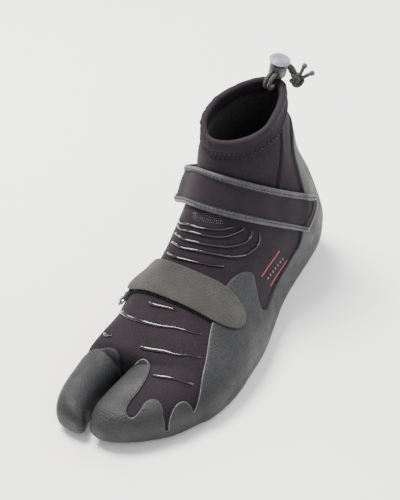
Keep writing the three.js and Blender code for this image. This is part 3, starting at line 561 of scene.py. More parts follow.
# Polyurethane cast onto the neoprene: near black with a wet gloss, which gives the white glints
def cast_gloss_rib():
    material, tree, shader, place = surface("cast_gloss_rib", "#141114", .14, Coat_Weight=.35,
                                            Coat_Roughness=.06, IOR=1.5, Specular_IOR_Level=.5)
    paint(tree, shader, patch_mix(tree, place, 10, "#0d0b0d", "#161216"))
    relief(tree, shader, clouds(tree, place, 6, 1.0), .05)
    return material


# Screen-printed ink: flat colour with a faint speckle where the knit shows through
def printed_ink(name, dark, light):
    material, tree, shader, place = surface(name, dark, .6, Specular_IOR_Level=.35)
    paint(tree, shader, patch_mix(tree, place, 1.2, dark, light))
    return material


# Bonded polyester thread, twisted: one dull tone with breaks of about 1.5 mm
def twisted_thread(name, dark, light):
    material, tree, shader, place = surface(name, dark, .7, Specular_IOR_Level=.3)
    paint(tree, shader, patch_mix(tree, place, 1.5, dark, light))
    return material


# Acetal, injection moulded: satin grey with a soft gloss and faint handling marks
def moulded_acetal(name, dark, light, roughness=.32):
    material, tree, shader, place = surface(name, dark, roughness, IOR=1.48, Specular_IOR_Level=.55)
    paint(tree, shader, patch_mix(tree, place, 5, dark, light))
    marks = clouds(tree, place, 1.1, 3.0)
    roughen(tree, shader, marks, 0.0, 1.0, roughness - .08, roughness + .14)
    relief(tree, shader, marks, .03)
    return material


# Braided elastic cord: rubber core in a polyester braid, olive grey, plaits 1.3 mm long
def braided_cord():
    material, tree, shader, place = surface("braided_cord", "#3f403c", .75, Sheen_Weight=.15,
                                            Specular_IOR_Level=.3)
    plait = cell_pattern(tree, place, 1.3, .2, "MANHATTAN")
    paint(tree, shader, mixed(tree, plait, "#555750", "#23241f"))
    relief(tree, shader, plait, -.3)
    return material


# Steel wire, bent and nickel plated: bright, with slight brushing
def plated_wire():
    material, tree, shader, place = surface("plated_wire", "#b9bcc2", .2, Metallic=1.0)
    paint(tree, shader, patch_mix(tree, place, 4, "#aeb1b6", "#c8cacd"))
    roughen(tree, shader, clouds(tree, place, 1.5, 4.0), 0.0, 1.0, .12, .34)
    return material


JERSEY = neoprene_jersey()
HEM_JERSEY = neoprene_jersey("hem_jersey", "#171317", "#231d22")
TAB_JERSEY = neoprene_jersey("tab_jersey", "#26222a", "#332e36")
STRAP_JERSEY = neoprene_jersey("strap_jersey", "#161417", "#211e22")
RUBBER_SKIN = moulded_rubber()
SOLE_RUBBER = moulded_rubber("sole_rubber", "#262729", "#343537", edge=False)
LINING = pile_lining()
FOAM = footbed_foam()
WOVEN = woven_webbing()
LOOPS = loop_tape()
BINDING = binding_tape()
GLOSS = cast_gloss_rib()
RED_INK = printed_ink("red_ink", "#7a1f29", "#94333c")
GREY_INK = printed_ink("grey_ink", "#565458", "#69676b")
DARK_THREAD = twisted_thread("dark_thread", "#060506", "#0d0b0d")
GREY_THREAD = twisted_thread("grey_thread", "#19181b", "#29282b")
ACETAL = moulded_acetal("moulded_acetal", "#2b2c30", "#3a3b40")
PALE_ACETAL = moulded_acetal("pale_acetal", "#666872", "#7a7c87", .28)
CORD_BRAID = braided_cord()
WIRE = plated_wire()


def make(name, shape, material, replaces=(), body="boot", sharp=None, marks=None):
    """Turns points and faces in millimetres into a Blender piece that rides on a body."""
    points, faces = shape
    mesh = bpy.data.meshes.new(name)
    listed = [f[:3] if len(f) == 4 and f[2] == f[3] else f for f in faces.tolist()]
    mesh.from_pydata(((points - MIDDLE) / 1000).tolist(), [], listed)
    for key, values in (marks or {}).items():
        mesh.attributes.new(key, "FLOAT", "POINT").data.foreach_set("value", np.asarray(values, np.float32))
    mesh.validate()
    mesh.shade_smooth()
    if sharp:
        mesh.set_sharp_from_angle(angle=math.radians(sharp))
    mesh.materials.append(material)
    piece = bpy.data.objects.new(name, mesh)
    bpy.context.scene.collection.objects.link(piece)
    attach(piece, body)
    if replaces:
        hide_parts(*replaces)
    return piece


# A cord end's moulded bulb: distance ahead of its middle, radius
TIP_PROFILE = ((-2.2, 1.34), (-1.2, 1.45), (-.4, 1.8), (.6, 2.05), (1.4, 1.9), (1.9, 1.2), (2.1, .4))


def make_cords():
    tips, cords = [], []
    for number, side in enumerate((-1, 1)):
        tip = CORD_TIPS[number]
        route = strand_route(side, tip)
        cord = make(f"drawcord_run_{number + 1}", sweep(route, CORD_RADIUS, 14), CORD_BRAID,
                    (f"drawcord_{number + 1}", f"cord_end_{number + 1}"))
        way = unit(route[-1] - route[-6])
        bulb = sweep([tip + way * (ahead - 1.8) for ahead, _ in TIP_PROFILE], [r for _, r in TIP_PROFILE], 18)
        tips.append(make(f"cord_tip_{number + 1}", bulb, ACETAL))
        cords.append((cord, route))
    winds = np.linspace(0, 2 * np.pi, 161)
    major, minor = 2.0, 2.55
    reach = major + minor * np.cos(5 * winds)
    path = np.stack([reach * np.cos(3 * winds), minor * np.sin(5 * winds), reach * np.sin(3 * winds)], 1)
    middle = [KNOT_CENTRE + [0, y, 0] for y in (-3, -2.4, -1, 1, 2.4, 3)]
    core = sweep(middle, [.6, 2.6, 3.6, 3.6, 2.6, .6], 16)
    wound = sweep(KNOT_CENTRE + path, CORD_RADIUS, 10)
    knot = make("cord_knot_wound", together(wound, core), CORD_BRAID, ("cord_knot",))


make_cords()


# The form of the boot
def ring(near, far, inner, outer, ridge, back, belly, floor, top, quarter, dip):
    u = np.linspace(0, np.pi / 2, quarter, endpoint=False)
    v = np.pi / 2 - u
    low, high = 2 / floor, 2 / top
    x = np.concatenate([back + (outer - back) * np.sin(u) ** low, ridge + (outer - ridge) * np.cos(u) ** high,
                        ridge + (inner - ridge) * np.cos(v) ** high,
                        back + (inner - back) * np.sin(v) ** low])
    share = np.concatenate([belly * (1 - np.cos(u) ** low), belly + (1 - belly) * np.sin(u) ** high,
                            belly + (1 - belly) * np.sin(v) ** high, belly * (1 - np.cos(v) ** low)])
    y = far[0] + share * (near[0] - far[0])
    z = far[1] + share * (near[1] - far[1]) - dip * 4 * share * (1 - share)
    return np.stack([x, y, z], 1)


def foot_rings(where, quarter):
    half = LENGTH / 2
    return np.array([ring((half - r[0], r[1]), (half - r[2], r[3]), -r[4], *r[5:11], quarter, r[11])
                     for r in through(FOOT, where)])


def toe_rings(table, count, quarter):
    rings = []
    for r in through(table, np.linspace(0, len(table) - 1, count)):
        y, middle = LENGTH / 2 - r[0], (r[3] + r[4]) / 2
        rings.append(ring((y, r[2]), (y, r[1]), r[3], r[4], middle, middle, *r[5:8], quarter, 0))
    return np.array(rings)


def boot_form(cell, grow=0.0, smooth=3):
    """The whole outer form as one closed skin of small triangles."""
    shapes = []
    for rings in (foot_rings(np.linspace(0, len(FOOT) - 1, 110), 16), toe_rings(BIG_TOE, 50, 12),
                  toe_rings(LESSER_TOES, 50, 14)):
        points, faces = loft(rings)
        shapes.append((points + grow * normals_of(points, faces), faces))
    points, faces = together(*shapes)
    mesh = bpy.data.meshes.new("form")
    mesh.from_pydata((points / 1000).tolist(), [], [f[:3] if f[2] == f[3] else f for f in faces.tolist()])
    form = bpy.data.objects.new("form", mesh)
    bpy.context.scene.collection.objects.link(form)
    cells = form.modifiers.new("cells", "REMESH")
    cells.mode, cells.voxel_size = "VOXEL", cell / 1000
    made = form.evaluated_get(bpy.context.evaluated_depsgraph_get()).to_mesh()
    points = np.empty(len(made.vertices) * 3)
    made.vertices.foreach_get("co", points)
    points = points.reshape(-1, 3) * 1000
    made.calc_loop_triangles()
    tri = np.empty(len(made.loop_triangles) * 3, np.int32)
    made.loop_triangles.foreach_get("vertices", tri)
    tri = tri.reshape(-1, 3)
    bpy.data.objects.remove(form)
    edges = np.unique(np.sort(np.vstack([tri[:, [0, 1]], tri[:, [1, 2]], tri[:, [2, 0]]]), axis=1), axis=0)
    degree = np.bincount(edges.ravel(), minlength=len(points))[:, None]
    for pull in [.5, -.52] * smooth:
        total = np.zeros_like(points)
        np.add.at(total, edges[:, 0], points[edges[:, 1]])
        np.add.at(total, edges[:, 1], points[edges[:, 0]])
        points = points + pull * (total / degree - points)
    return points, tri


skin_points, skin_faces = boot_form(1.2 if FINE else 2.4)
skin_normals = normals_of(skin_points, skin_faces)
skin_tree = BVHTree.FromPolygons(skin_points.tolist(), skin_faces.tolist())


def along_of(points):
    return LENGTH / 2 - points[:, 1]


def inside_distance(points, outline):
    """Distance to a closed outline, more than 0 inside it."""
    best = np.full(len(points), 1e9)
    odd = np.zeros(len(points), bool)
    x, y = points.T
    for (x0, y0), (x1, y1) in zip(outline, np.roll(outline, -1, axis=0)):
        dx, dy = x1 - x0, y1 - y0
        t = np.clip(((x - x0) * dx + (y - y0) * dy) / max(dx * dx + dy * dy, 1e-12), 0, 1)
        best = np.minimum(best, np.hypot(x - x0 - t * dx, y - y0 - t * dy))
        if y0 != y1:
            odd ^= ((y0 > y) != (y1 > y)) & (x < dx * (y - y0) / dy + x0)
    return np.where(odd, best, -best)


def outline_of(run, corners):
    return np.vstack([curve_through(run, 1.0), corners])


def rubber_distance(points):
    seen = np.stack([along_of(points), points[:, 2]], 1)
    above = np.stack([points[:, 0], along_of(points)], 1)
    outer = inside_distance(seen, outline_of(RAND_OUTER, RAND_CORNERS))
    inner = inside_distance(seen, outline_of(RAND_INNER, RAND_CORNERS))
    share = step(-3, 3, points[:, 0])
    side = outer * share + inner * (1 - share)
    caps = np.maximum(inside_distance(above, outline_of(BIG_CAP, BIG_CORNERS)),
                      inside_distance(above, outline_of(LESSER_CAPS, LESSER_CORNERS)))
    return np.maximum(side, caps)


def cut(data, faces, column, level):
    """Cuts triangles along the line where a column of their corners' data has a level."""
    s = data[:, column] - level
    s = np.where(np.abs(s) < 1e-5, 1e-5, s)
    over = s > 0
    count = over[faces].sum(1)
    whole, mixed = faces[(count == 0) | (count == 3)], faces[(count == 1) | (count == 2)]
    if not len(mixed):
        return data, faces
    flags = over[mixed]
    lone = np.where((flags.sum(1) == 1)[:, None], flags, ~flags).argmax(1)
    rows = np.arange(len(mixed))
    a, b, c = (mixed[rows, (lone + k) % 3] for k in range(3))
    pairs = np.sort(np.vstack([np.stack([a, b], 1), np.stack([a, c], 1)]), axis=1)
    pairs, where = np.unique(pairs, axis=0, return_inverse=True)
    where = where.reshape(-1) + len(data)
    t = (s[pairs[:, 0]] / (s[pairs[:, 0]] - s[pairs[:, 1]]))[:, None]
    fresh = data[pairs[:, 0]] + t * (data[pairs[:, 1]] - data[pairs[:, 0]])
    fresh[:, column] = level
    ab, ac = where[:len(mixed)], where[len(mixed):]
    return np.vstack([data, fresh]), np.vstack([whole, np.stack([a, ab, ac], 1), np.stack([ab, b, c], 1),
                                                np.stack([ab, c, ac], 1)])


def keep(data, faces, chosen):
    faces = faces[chosen]
    used, back = np.unique(faces, return_inverse=True)
    return data[used], back.reshape(-1, 3)


def skin_with(*fields):
    return np.hstack([skin_points, skin_normals, *[f[:, None] for f in fields]])


def part_of_skin(field, levels):
    """The part of the skin where a field is over 0, cut along the levels."""
    data, faces = keep(skin_with(field), skin_faces, (field[skin_faces].max(1) > -2))
    for level in levels:
        data, faces = cut(data, faces, 6, level)
    data, faces = keep(data, faces, data[:, 6][faces].min(1) >= -1e-9)
    data[:, 3:6] = unit(data[:, 3:6])
    return data, faces


def slab_over(field, low, high, soft, lift=None):
    """A closed slab between two heights over the skin, with a rounded edge."""
    data, faces = part_of_skin(field, (0, .08 * soft, .35 * soft, soft))
    share = 1 - np.clip(data[:, 6] / soft, 0, 1)
    half = (high - low) / 2 * np.sqrt(1 - share ** 2)
    middle = (high + low) / 2 + (0 if lift is None else lift(data))
    top = data[:, :3] + data[:, 3:6] * (middle + half)[:, None]
    under = data[:, :3] + data[:, 3:6] * (middle - half)[:, None]
    return np.vstack([top, under]), np.vstack([faces, faces[:, ::-1] + len(data)])


def underside_of(along):
    return np.interp(along, UNDERSIDE[:, 0], UNDERSIDE[:, 1])


def hem_line(table, points):
    return np.interp(along_of(points), table[:, 0], table[:, 1])


JERSEY_STOP = 2.5  # the jersey ends inside the sole, this far over its underside


def make_upper():
    low = skin_points[:, 2] - underside_of(along_of(skin_points)) - JERSEY_STOP
    field = np.minimum(hem_line(HEM_LOW, skin_points) + 4 - skin_points[:, 2], low)
    data, faces = part_of_skin(field, (0,))
    make("upper_jersey", (data[:, :3], faces), JERSEY, ("upper",))


# The rubber's rounded edge: distance from it, height over the neoprene
RAND_EDGE = np.array([(0, -.3), (.15, 1.08), (.5, 1.62), (1.1, GAP + RUBBER)])


def make_rand():
    """The rubber's upper edge rounds down to the neoprene; its lower edge meets the sole flush."""
    data, faces = part_of_skin(rubber_distance(skin_points), RAND_EDGE[:, 0])
    over = data[:, 2] - underside_of(along_of(data)) - SOLE_THICKNESS - .05
    data, faces = cut(np.hstack([data, over[:, None]]), faces, 7, 0)
    data, faces = keep(data, faces, data[:, 7][faces].min(1) >= -1e-9)
    edge = data[:, 6]
    rise = np.interp(edge, RAND_EDGE[:, 0], RAND_EDGE[:, 1])
    along = along_of(data)
    # Pale glue by the lesser toes; elsewhere the rubber's edge line is near black painted shade
    pale = step(172, 178, along) * step(-13, -8, data[:, 0])
    shape = data[:, :3] + data[:, 3:6] * rise[:, None], faces
    make("rubber_rand", shape, RUBBER_SKIN, ("rand",), marks={"from_edge": edge, "glue": pale})


def make_outsole():
    """The form's own sides, grown by the rubber, flat underneath and closed on top."""
    points, tri = boot_form(1.6 if FINE else 3, GAP + RUBBER, 2)
    floor = underside_of(along_of(points))
    data = np.hstack([points, normals_of(points, tri), (floor + SOLE_THICKNESS - points[:, 2])[:, None],
                      (points[:, 2] - floor)[:, None]])
    data, tri = cut(data, tri, 6, 0)
    for edge in (.5, 0):
        data, tri = cut(data, tri, 7, edge)
    data, tri = keep(data, tri, (data[:, 6][tri].min(1) >= -1e-9) & (data[:, 5][tri].mean(1) < .9))
    floor = underside_of(along_of(data))
    wall = data[:, :3].copy()
    wall[:, 2] = np.maximum(wall[:, 2], floor)
    lid = np.column_stack([data[:, :2], floor + SOLE_THICKNESS])
    shape = np.vstack([wall, lid]), np.vstack([tri, tri[:, ::-1] + len(data)])
    make("moulded_outsole", shape, SOLE_RUBBER, ("outsole",), sharp=50)


def make_lining_and_insole():
    points, tri = boot_form(2.6 if FINE else 4, -WALL, 2)
    foot = points[:, 2] - underside_of(along_of(points)) - SOLE_THICKNESS - GAP - 1
    rim = hem_line(HEM_LOW, points) + 5 - points[:, 2]
    data = np.hstack([points, normals_of(points, tri), rim[:, None], foot[:, None]])
    cut_data, cut_faces = cut(data, tri, 6, 0)
    cut_data, cut_faces = cut(cut_data, cut_faces, 7, 0)
    lined, faces = keep(cut_data, cut_faces, cut_data[:, 6:8][cut_faces].min((1, 2)) >= -1e-9)
    make("pile_lining", (lined[:, :3], faces[:, ::-1]), LINING)
    top = SOLE_THICKNESS + GAP + INSOLE_THICKNESS
    shrunk = points - normals_of(points, tri) * .4
    level = top + underside_of(along_of(shrunk)) - shrunk[:, 2]
    data = np.hstack([shrunk, normals_of(points, tri), level[:, None]])
    for edge in (0, .8):
        data, tri = cut(data, tri, 6, edge)
    bowl, faces = keep(data, tri, (data[:, 6][tri].min(1) >= -1e-9) & (data[:, 5][tri].mean(1) < .9))
    rise = top + underside_of(along_of(bowl[:, :3]))
    crown = np.column_stack([bowl[:, :2], rise + .5 * step(0, 6, bowl[:, 6])])
    under = bowl[:, :3].copy()
    under[:, 2] = np.maximum(under[:, 2], rise - INSOLE_THICKNESS)
    shape = np.vstack([crown, under]), np.vstack([faces[:, ::-1], faces + len(bowl)])
    make("footbed", shape, FOAM, ("insole",))


# The collar's hem, on a grid of columns round the shaft
def hem_grid(quarter=44):
    where = np.linspace(13.5, 18, 90)
    rings = foot_rings(where, quarter)
    count = rings.shape[1]
    along = LENGTH / 2 - rings[..., 1]
    low = rings[..., 2] - np.interp(along, HEM_LOW[:, 0], HEM_LOW[:, 1])
    top = rings[..., 2] - np.interp(along, HEM_TOP[:, 0], HEM_TOP[:, 1])
    ahead = np.roll(rings, -1, axis=1) - np.roll(rings, 1, axis=1)
    rise = np.gradient(rings, axis=0)
    normal = unit(np.cross(ahead, rise))
    if (normal[45, 0] @ (rings[45, 0] - rings[45].mean(0))) < 0:
        normal = -normal
    feet, tops, outs = [], [], []
    for j in range(count):
        t0 = np.interp(0, low[:, j], where)
        t1 = np.interp(0, top[:, j], where)
        feet.append([np.interp(t0, where, rings[:, j, k]) for k in range(3)])
        tops.append([np.interp(t1, where, rings[:, j, k]) for k in range(3)])
        outs.append([np.interp((t0 + t1) / 2, where, normal[:, j, k]) for k in range(3)])
    return np.array(feet), np.array(tops), unit(np.array(outs))


hem_feet, hem_tops, hem_outs = hem_grid()
hem_tall = np.linalg.norm(hem_tops - hem_feet, axis=1)
hem_up = unit(hem_tops - hem_feet)


def hem_point(column, high, out):
    """Points by column (may be fractional), height over the hem's lower edge and distance out."""
    n = len(hem_feet)
    c = np.mod(np.asarray(column, float), n)
    k = c.astype(int)
    s = (c - k)[:, None]

    def mix(table):
        return table[k] * (1 - s) + table[(k + 1) % n] * s

    return mix(hem_feet) + mix(hem_up) * np.asarray(high)[:, None] + mix(hem_outs) * np.asarray(out)[:, None]


def make_hem():
    n = len(hem_feet)
    columns = np.arange(n)
    pull = np.sin(columns * .83) * .5 + np.sin(columns * 1.37 + 1.1) * .35 + np.sin(columns * .31 + 2) * .3
    front = step(.25, 1, hem_outs[:, 1] * -.6 + hem_outs[:, 0] * -.8)
    gather = pull * (.16 + .3 * front)
    roll = 2.55  # radius of the rolled rim
    rings = []
    # Up the outside: height over the hem's lower edge, distance out
    outside = [(0, .05), (0, .55), (.5, .85), (2.0, .95), (4.5, .8), (6.5, .75)]
    for high, out in outside:
        rise = np.minimum(np.full(n, high), hem_tall * .6)
        rings.append(hem_point(columns, rise, out + gather * step(1, 6, high)))
    for degree in (-30, 0, 30, 60, 90, 120, 150, 180):
        a = math.radians(degree)
        rings.append(hem_point(columns, hem_tall - roll + roll * math.sin(a),
                               -1.25 + roll * math.cos(a) + gather * (1 if degree < 120 else .5)))
    for share, out in ((.6, -HEM_IN + .1), (.3, -HEM_IN + .1), (.05, -HEM_IN + .3), (.0, -WALL + .2)):
        rings.append(hem_point(columns, hem_tall * share, np.full(n, out)))
    rings.append(rings[0])
    points, faces = loft(np.array(rings), caps=False)
    fourth = slice(3 * n, 4 * n)
    if (normals_of(points, faces)[fourth] * hem_outs).sum() < 0:
        faces = faces[:, ::-1]
    make("rolled_hem", (points, faces), HEM_JERSEY, ("collar_hem",))


def stitch_shapes(starts, ends, ups, radius, sink=.35):
    """Short threads between pairs of points, sunk a little at their ends."""
    shapes = []
    for a, b, u in zip(starts, ends, ups):
        run = b - a
        path = [a - u * sink, a + run * .12 + u * radius * .2, a + run * .5 + u * radius * .55,
                a + run * .88 + u * radius * .2, b - u * sink]
        shapes.append(sweep(path, [radius * .7, radius, radius, radius, radius * .7], 6))
    return together(*shapes)


def make_hem_stitches():
    n = len(hem_feet)
    turns = np.concatenate([[0], np.cumsum(np.linalg.norm(np.roll(hem_feet, -1, axis=0) - hem_feet, axis=1))])
    count = int(turns[-1] / 3.1)
    stops = np.interp(np.linspace(0, turns[-1], count + 1), turns, np.arange(n + 1))
    mids = (stops[:-1] + stops[1:]) / 2

    def level(columns, high, out):
        return hem_point(columns, np.full(len(columns), high), np.full(len(columns), out))

    up = level(mids, 0.0, 1.0) - level(mids, 0.0, 0.0)
    peaks = level(mids, 1.5, 1.05)
    zig = stitch_shapes(level(stops[:-1], -2.0, .2), peaks, up, .5)
    zag = stitch_shapes(peaks, level(stops[1:], -2.0, .2), up, .5)
    make("hem_zigzag_stitches", together(zig, zag), DARK_THREAD)
    make("hem_seam_cord", sweep(level(np.arange(n), 3.2, .82), .32, 6), DARK_THREAD)


def nearest(points):
    found = [skin_tree.find_nearest(Vector(p)) for p in points]
    return np.array([tuple(f[0]) for f in found]), unit(np.array([tuple(f[1]) for f in found]))


def from_above(points, high=220):
    out = []
    for x, along in points:
        hit = skin_tree.ray_cast(Vector((x, LENGTH / 2 - along, high)), Vector((0, 0, -1)))
        out.append(tuple(hit[0]))
    return np.array(out)


def laid_strip(path, widths, height, flat=False, across=9, lift=0.0, sink=.25):
    """A closed strip that lies on the skin along a path of 3-D points."""
    path, up = nearest(path)
    path, up = nearest(path + up * .01)
    ahead = unit(np.gradient(path, axis=0))
    aside = unit(np.cross(ahead, up))
    widths = np.broadcast_to(np.asarray(widths, float), (len(path),))
    height = np.broadcast_to(np.asarray(height, float), (len(path),))
    if flat:
        share = [-1, -.97, -.85, -.5, 0, .5, .85, .97, 1]
        crown = [0, .7, 1, 1, 1, 1, 1, .7, 0]
    else:
        share = np.linspace(-1, 1, across)
        crown = np.sqrt(np.maximum(1 - share ** 2, 0))
    columns = [nearest(path + aside * (widths * s / 2)[:, None]) for s in share]
    tops = [q + n * (lift + height * c - (sink if c == 0 else 0))[:, None]
            for (q, n), c in zip(columns, crown)]
    unders = [q - n * sink for q, n in columns[1:-1]][::-1]
    return loft(np.stack(tops + unders, 1))


def make_ribs():
    for name, (width, tail, plan) in RIBS.items():
        path = from_above(curve_through(plan, .9))
        s = np.linspace(0, 1, len(path))
        taper = np.sqrt(np.clip(np.minimum(s, 1 - s) * len(path) / 4.5, 0.02, 1))
        body = 1 - (1 - tail) * step(.35, .75, s)
        end = .35 * np.exp(-((s - .96) / .03) ** 2) * tail
        shape = laid_strip(path, width * (body + end) * taper, (GAP + 1.1) * (body ** .5) * taper, across=11)
        make("gloss_" + name, shape, GLOSS, (name,))


def strap_lift(data):
    """The strap's front edge lifts off the loop layer, and its inner side stands over the ring's tab."""
    front = step(8, 0, np.abs(along_of(data[:, :3]) - 174))
    return .5 * front * step(52, 58, data[:, 2]) + 2.6 * step(-30, -44, data[:, 0])


def make_forefoot_strap():
    seen = np.stack([along_of(skin_points), skin_points[:, 2]], 1)
    strap = inside_distance(seen, curve_through(FOREFOOT_STRAP, 1.0, closed=True))
    over = np.where(skin_points[:, 0] < 0, skin_points[:, 2] - STRAP_FOOT, 99)
    field = np.minimum(strap, over)
    shape = slab_over(field, 1.9, WEBBING + .1, .7, strap_lift)
    make("webbing_strap", shape, WOVEN, ("forefoot_strap",))
    loop = inside_distance(seen, curve_through(LOOP_LAYER, 1.0, closed=True))
    field = np.minimum(loop, np.where(skin_points[:, 0] < 0, skin_points[:, 2] - STRAP_FOOT + 4, 99))
    shape = slab_over(field, -.1, GAP + LOOP_THICKNESS, .6)
    make("loop_tape_layer", shape, LOOPS, ("loop_layer",))


RING_RADIUS, WIRE_RADIUS = 5.2, 1.1


def make_ring():
    centre = np.array([-48.2, LENGTH / 2 - 172, 37.2])
    lean = unit(np.array([-.93, 0, .36]))
    side = unit(np.cross(lean, [0, 1, 0]))
    other = np.cross(lean, side)
    b = np.linspace(0, 2 * np.pi, 14, endpoint=False)
    rings = []
    for t in np.linspace(0, 2 * np.pi, 49)[:-1]:
        out = math.cos(t) * side + math.sin(t) * other
        wire = np.cos(b)[:, None] * out + np.sin(b)[:, None] * lean
        rings.append(centre + out * RING_RADIUS + WIRE_RADIUS * wire)
    points, faces = loft(np.array(rings + rings[:1]), caps=False)
    make("wire_ring", (points, facing_out(points - centre, faces)), WIRE, ("strap_ring",))
    tab = np.array([(-44, LENGTH / 2 - 170, z) for z in np.linspace(38, 50, 12)])
    make("ring_tab", laid_strip(tab, 9, 1.4, flat=True, lift=1.8), WOVEN)


# The ankle strap lies in a tilted plane round the shaft
STRAP_TILT = math.radians(35.5)
STRAP_CENTRE = np.array([-6.0, LENGTH / 2 - 83.3, 86.3])
STRAP_AHEAD = np.array([0, -math.cos(STRAP_TILT), math.sin(STRAP_TILT)])
STRAP_UP = np.array([0, math.sin(STRAP_TILT), math.cos(STRAP_TILT)])
# From its free end to its sewn end in degrees, and half its width; it sags at the inner side of
# the instep, and its free end is cut on a slant
STRAP_ENDS, STRAP_HALF = (-46, 232), 13.2
STRAP_DROP = 4.0
STRAP_SLANT = math.radians(3)


def strap_grid():
    angles = np.radians(np.linspace(*STRAP_ENDS, 240))
    rows = np.linspace(-STRAP_HALF, STRAP_HALF, 23)
    angle = np.degrees(angles)
    drop = STRAP_DROP * np.exp(-((angle - 160) / 38) ** 2)
    slant = STRAP_SLANT * step(-10, -46, angle)
    starts = STRAP_CENTRE + (rows[None, :] - drop[:, None])[..., None] * STRAP_UP
    turned = angles[:, None] + slant[:, None] * rows[None, :] / rows[-1]
    outs = np.cos(turned)[..., None] * np.array([1.0, 0, 0]) + np.sin(turned)[..., None] * STRAP_AHEAD
    reach = np.zeros(turned.shape)
    for i, j in np.ndindex(reach.shape):
        hit = skin_tree.ray_cast(Vector(starts[i, j]), Vector(outs[i, j]))
        reach[i, j] = np.linalg.norm(np.array(tuple(hit[0])) - starts[i, j])
    taut = reach.copy()
    for _ in range(60):
        padded = np.vstack([taut[:1], taut, taut[-1:]])
        taut = np.maximum(reach, (padded[:-2] + 2 * padded[1:-1] + padded[2:]) / 4)
    stand = 7 * np.exp(-((angle - 166) / 28) ** 2) + .8 * np.exp(-((angle - 35) / 18) ** 2)
    taut += stand[:, None]
    points = starts + taut[..., None] * outs
    ahead = np.gradient(points, axis=0)
    across = np.gradient(points, axis=1)
    normal = unit(np.cross(ahead, across))
    if (normal[120, 11] @ outs[120, 11]) < 0:
        normal = -normal
    return points, normal


def make_ankle_strap():
    points, normal = strap_grid()
    rubber = rubber_distance(points.reshape(-1, 3)).reshape(points.shape[:2])
    base = .4 + 1.8 * step(-2.5, .5, rubber)
    for _ in range(12):
        padded = np.vstack([base[:1], base, base[-1:]])
        base = np.maximum(base, (padded[:-2] + padded[2:]) / 2)
    thick = ANKLE_BAND - .4 - .5

    inner = list(range(2, 21))
    crown = [thick - .9 + .3 * math.sin(math.pi * (c - 2) / 18) for c in inner]
    crown[0] = crown[-1] = thick - 1.1
    top = [points[:, c] + normal[:, c] * (base[:, c] + h)[:, None] for c, h in zip(inner, crown)]
    under = [points[:, c] + normal[:, c] * (base[:, c] + .1)[:, None] for c in inner]
    panel = loft(np.stack(top + under[::-1], 1))
    make("strap_panel", panel, STRAP_JERSEY, ("ankle_strap",), sharp=60)
    shapes = []
    for columns, sign in (((0, 1, 2, 3), 1), ((22, 21, 20, 19), -1)):
        edge = points[:, columns[0]]
        lifts = [.35, .85, .7, .45]
        low = [.05, -.1, 0, .2]
        out = (base[:, columns[0]] + thick / 2)[:, None] * normal[:, columns[0]]
        mid = out + edge - sign * STRAP_UP * .55
        top = [points[:, c] + normal[:, c] * (base[:, c] + thick - .75 + h)[:, None]
               for c, h in zip(columns, lifts)]
        under = [points[:, c] + normal[:, c] * (base[:, c] + h)[:, None] for c, h in zip(columns, low)]
        rings = np.stack([mid] + top + under[::-1], 1)
        shapes.append(loft(rings))
    # The binding across both ends: distance ahead of the end, height over the strap's underside
    fold = ((-2.6, thick - .35), (-.8, thick + .05), (.4, thick - .5), (.7, thick / 2), (.4, .2),
            (-2.6, -.05))
    for end, before in ((0, 1), (-1, -2)):
        way = unit(points[end, 11] - points[before, 11])
        shapes.append(loft([[points[end, c] + way * ahead + normal[end, c] * (base[end, c] + high)
                             for ahead, high in fold] for c in range(23)]))
    make("strap_binding", together(*shapes), BINDING, sharp=70)
    starts, ends, ups = [], [], []
    for c, h in ((3.25, -.35), (18.75, -.35), (1.6, .05), (20.4, .05)):
        k, s = int(c), c - int(c)
        line = (points[:, k] + normal[:, k] * (base[:, k] + thick + h)[:, None]) * (1 - s) \
            + (points[:, k + 1] + normal[:, k + 1] * (base[:, k + 1] + thick + h)[:, None]) * s
        up = normal[:, k]
        run = np.concatenate([[0], np.cumsum(np.linalg.norm(np.diff(line, axis=0), axis=1))])
        for d in np.arange(4, run[-1] - 4, 3.0):
            starts.append([np.interp(d, run, line[:, i]) for i in range(3)])
            ends.append([np.interp(d + 1.9, run, line[:, i]) for i in range(3)])
            ups.append([np.interp(d, run, up[:, i]) for i in range(3)])
    threads = stitch_shapes(np.array(starts), np.array(ends), np.array(ups), .38, .2)
    make("strap_stitches", threads, GREY_THREAD)
    # A dense bar of stitches by the free end, between two places along the strap
    starts, ends, ups = [], [], []
    for c in np.arange(3.4, 18.7, .62):
        k, s = int(c), c - int(c)
        for i, found in ((4, starts), (7, ends)):
            on_row = points[i, k] * (1 - s) + points[i, k + 1] * s
            found.append(on_row + normal[i, k] * (base[i, k] + thick - .5))
        ups.append(normal[4, k])
    threads = stitch_shapes(np.array(starts), np.array(ends), np.array(ups), .3, .2)
    make("strap_end_stitches", threads, DARK_THREAD)


def make_back_tab():
    n = len(hem_feet)
    back = int(np.argmax(hem_feet[:, 1] - np.abs(hem_feet[:, 0] - .4) * .01))
    gaps = np.linalg.norm(np.roll(hem_feet, -1, axis=0) - hem_feet, axis=1)
    steps = []
    for side in (1, -1):
        total, k = 0.0, 0
        while total < 9:
            total += gaps[(back + side * k - (side < 0)) % n]
            k += 1
        steps.append(side * k)
    low_side, high_side = min(steps), max(steps)
    columns = back + np.linspace(low_side, high_side, 23)
    rings = []
    for high in np.linspace(-4.5, float(hem_tall[back]) - 2.2, 14):
        top = hem_point(columns, np.full(23, high), np.full(23, 2.3 if high > 0 else 1.6))
        under = hem_point(columns, np.full(23, high), np.full(23, .3))
        edge = [hem_point(columns[[k]], [high], [1.3 if high > 0 else .8])[0] for k in (0, -1)]
        rings.append(np.vstack([top[1:-1], edge[1], under[1:-1][::-1], edge[0]]))
    make("back_tab_panel", loft(np.array(rings)), TAB_JERSEY, ("back_tab",), sharp=55)


def placed(points):
    """Points given as across, along and height."""
    return np.array([(x, LENGTH / 2 - along, z) for x, along, z in points])


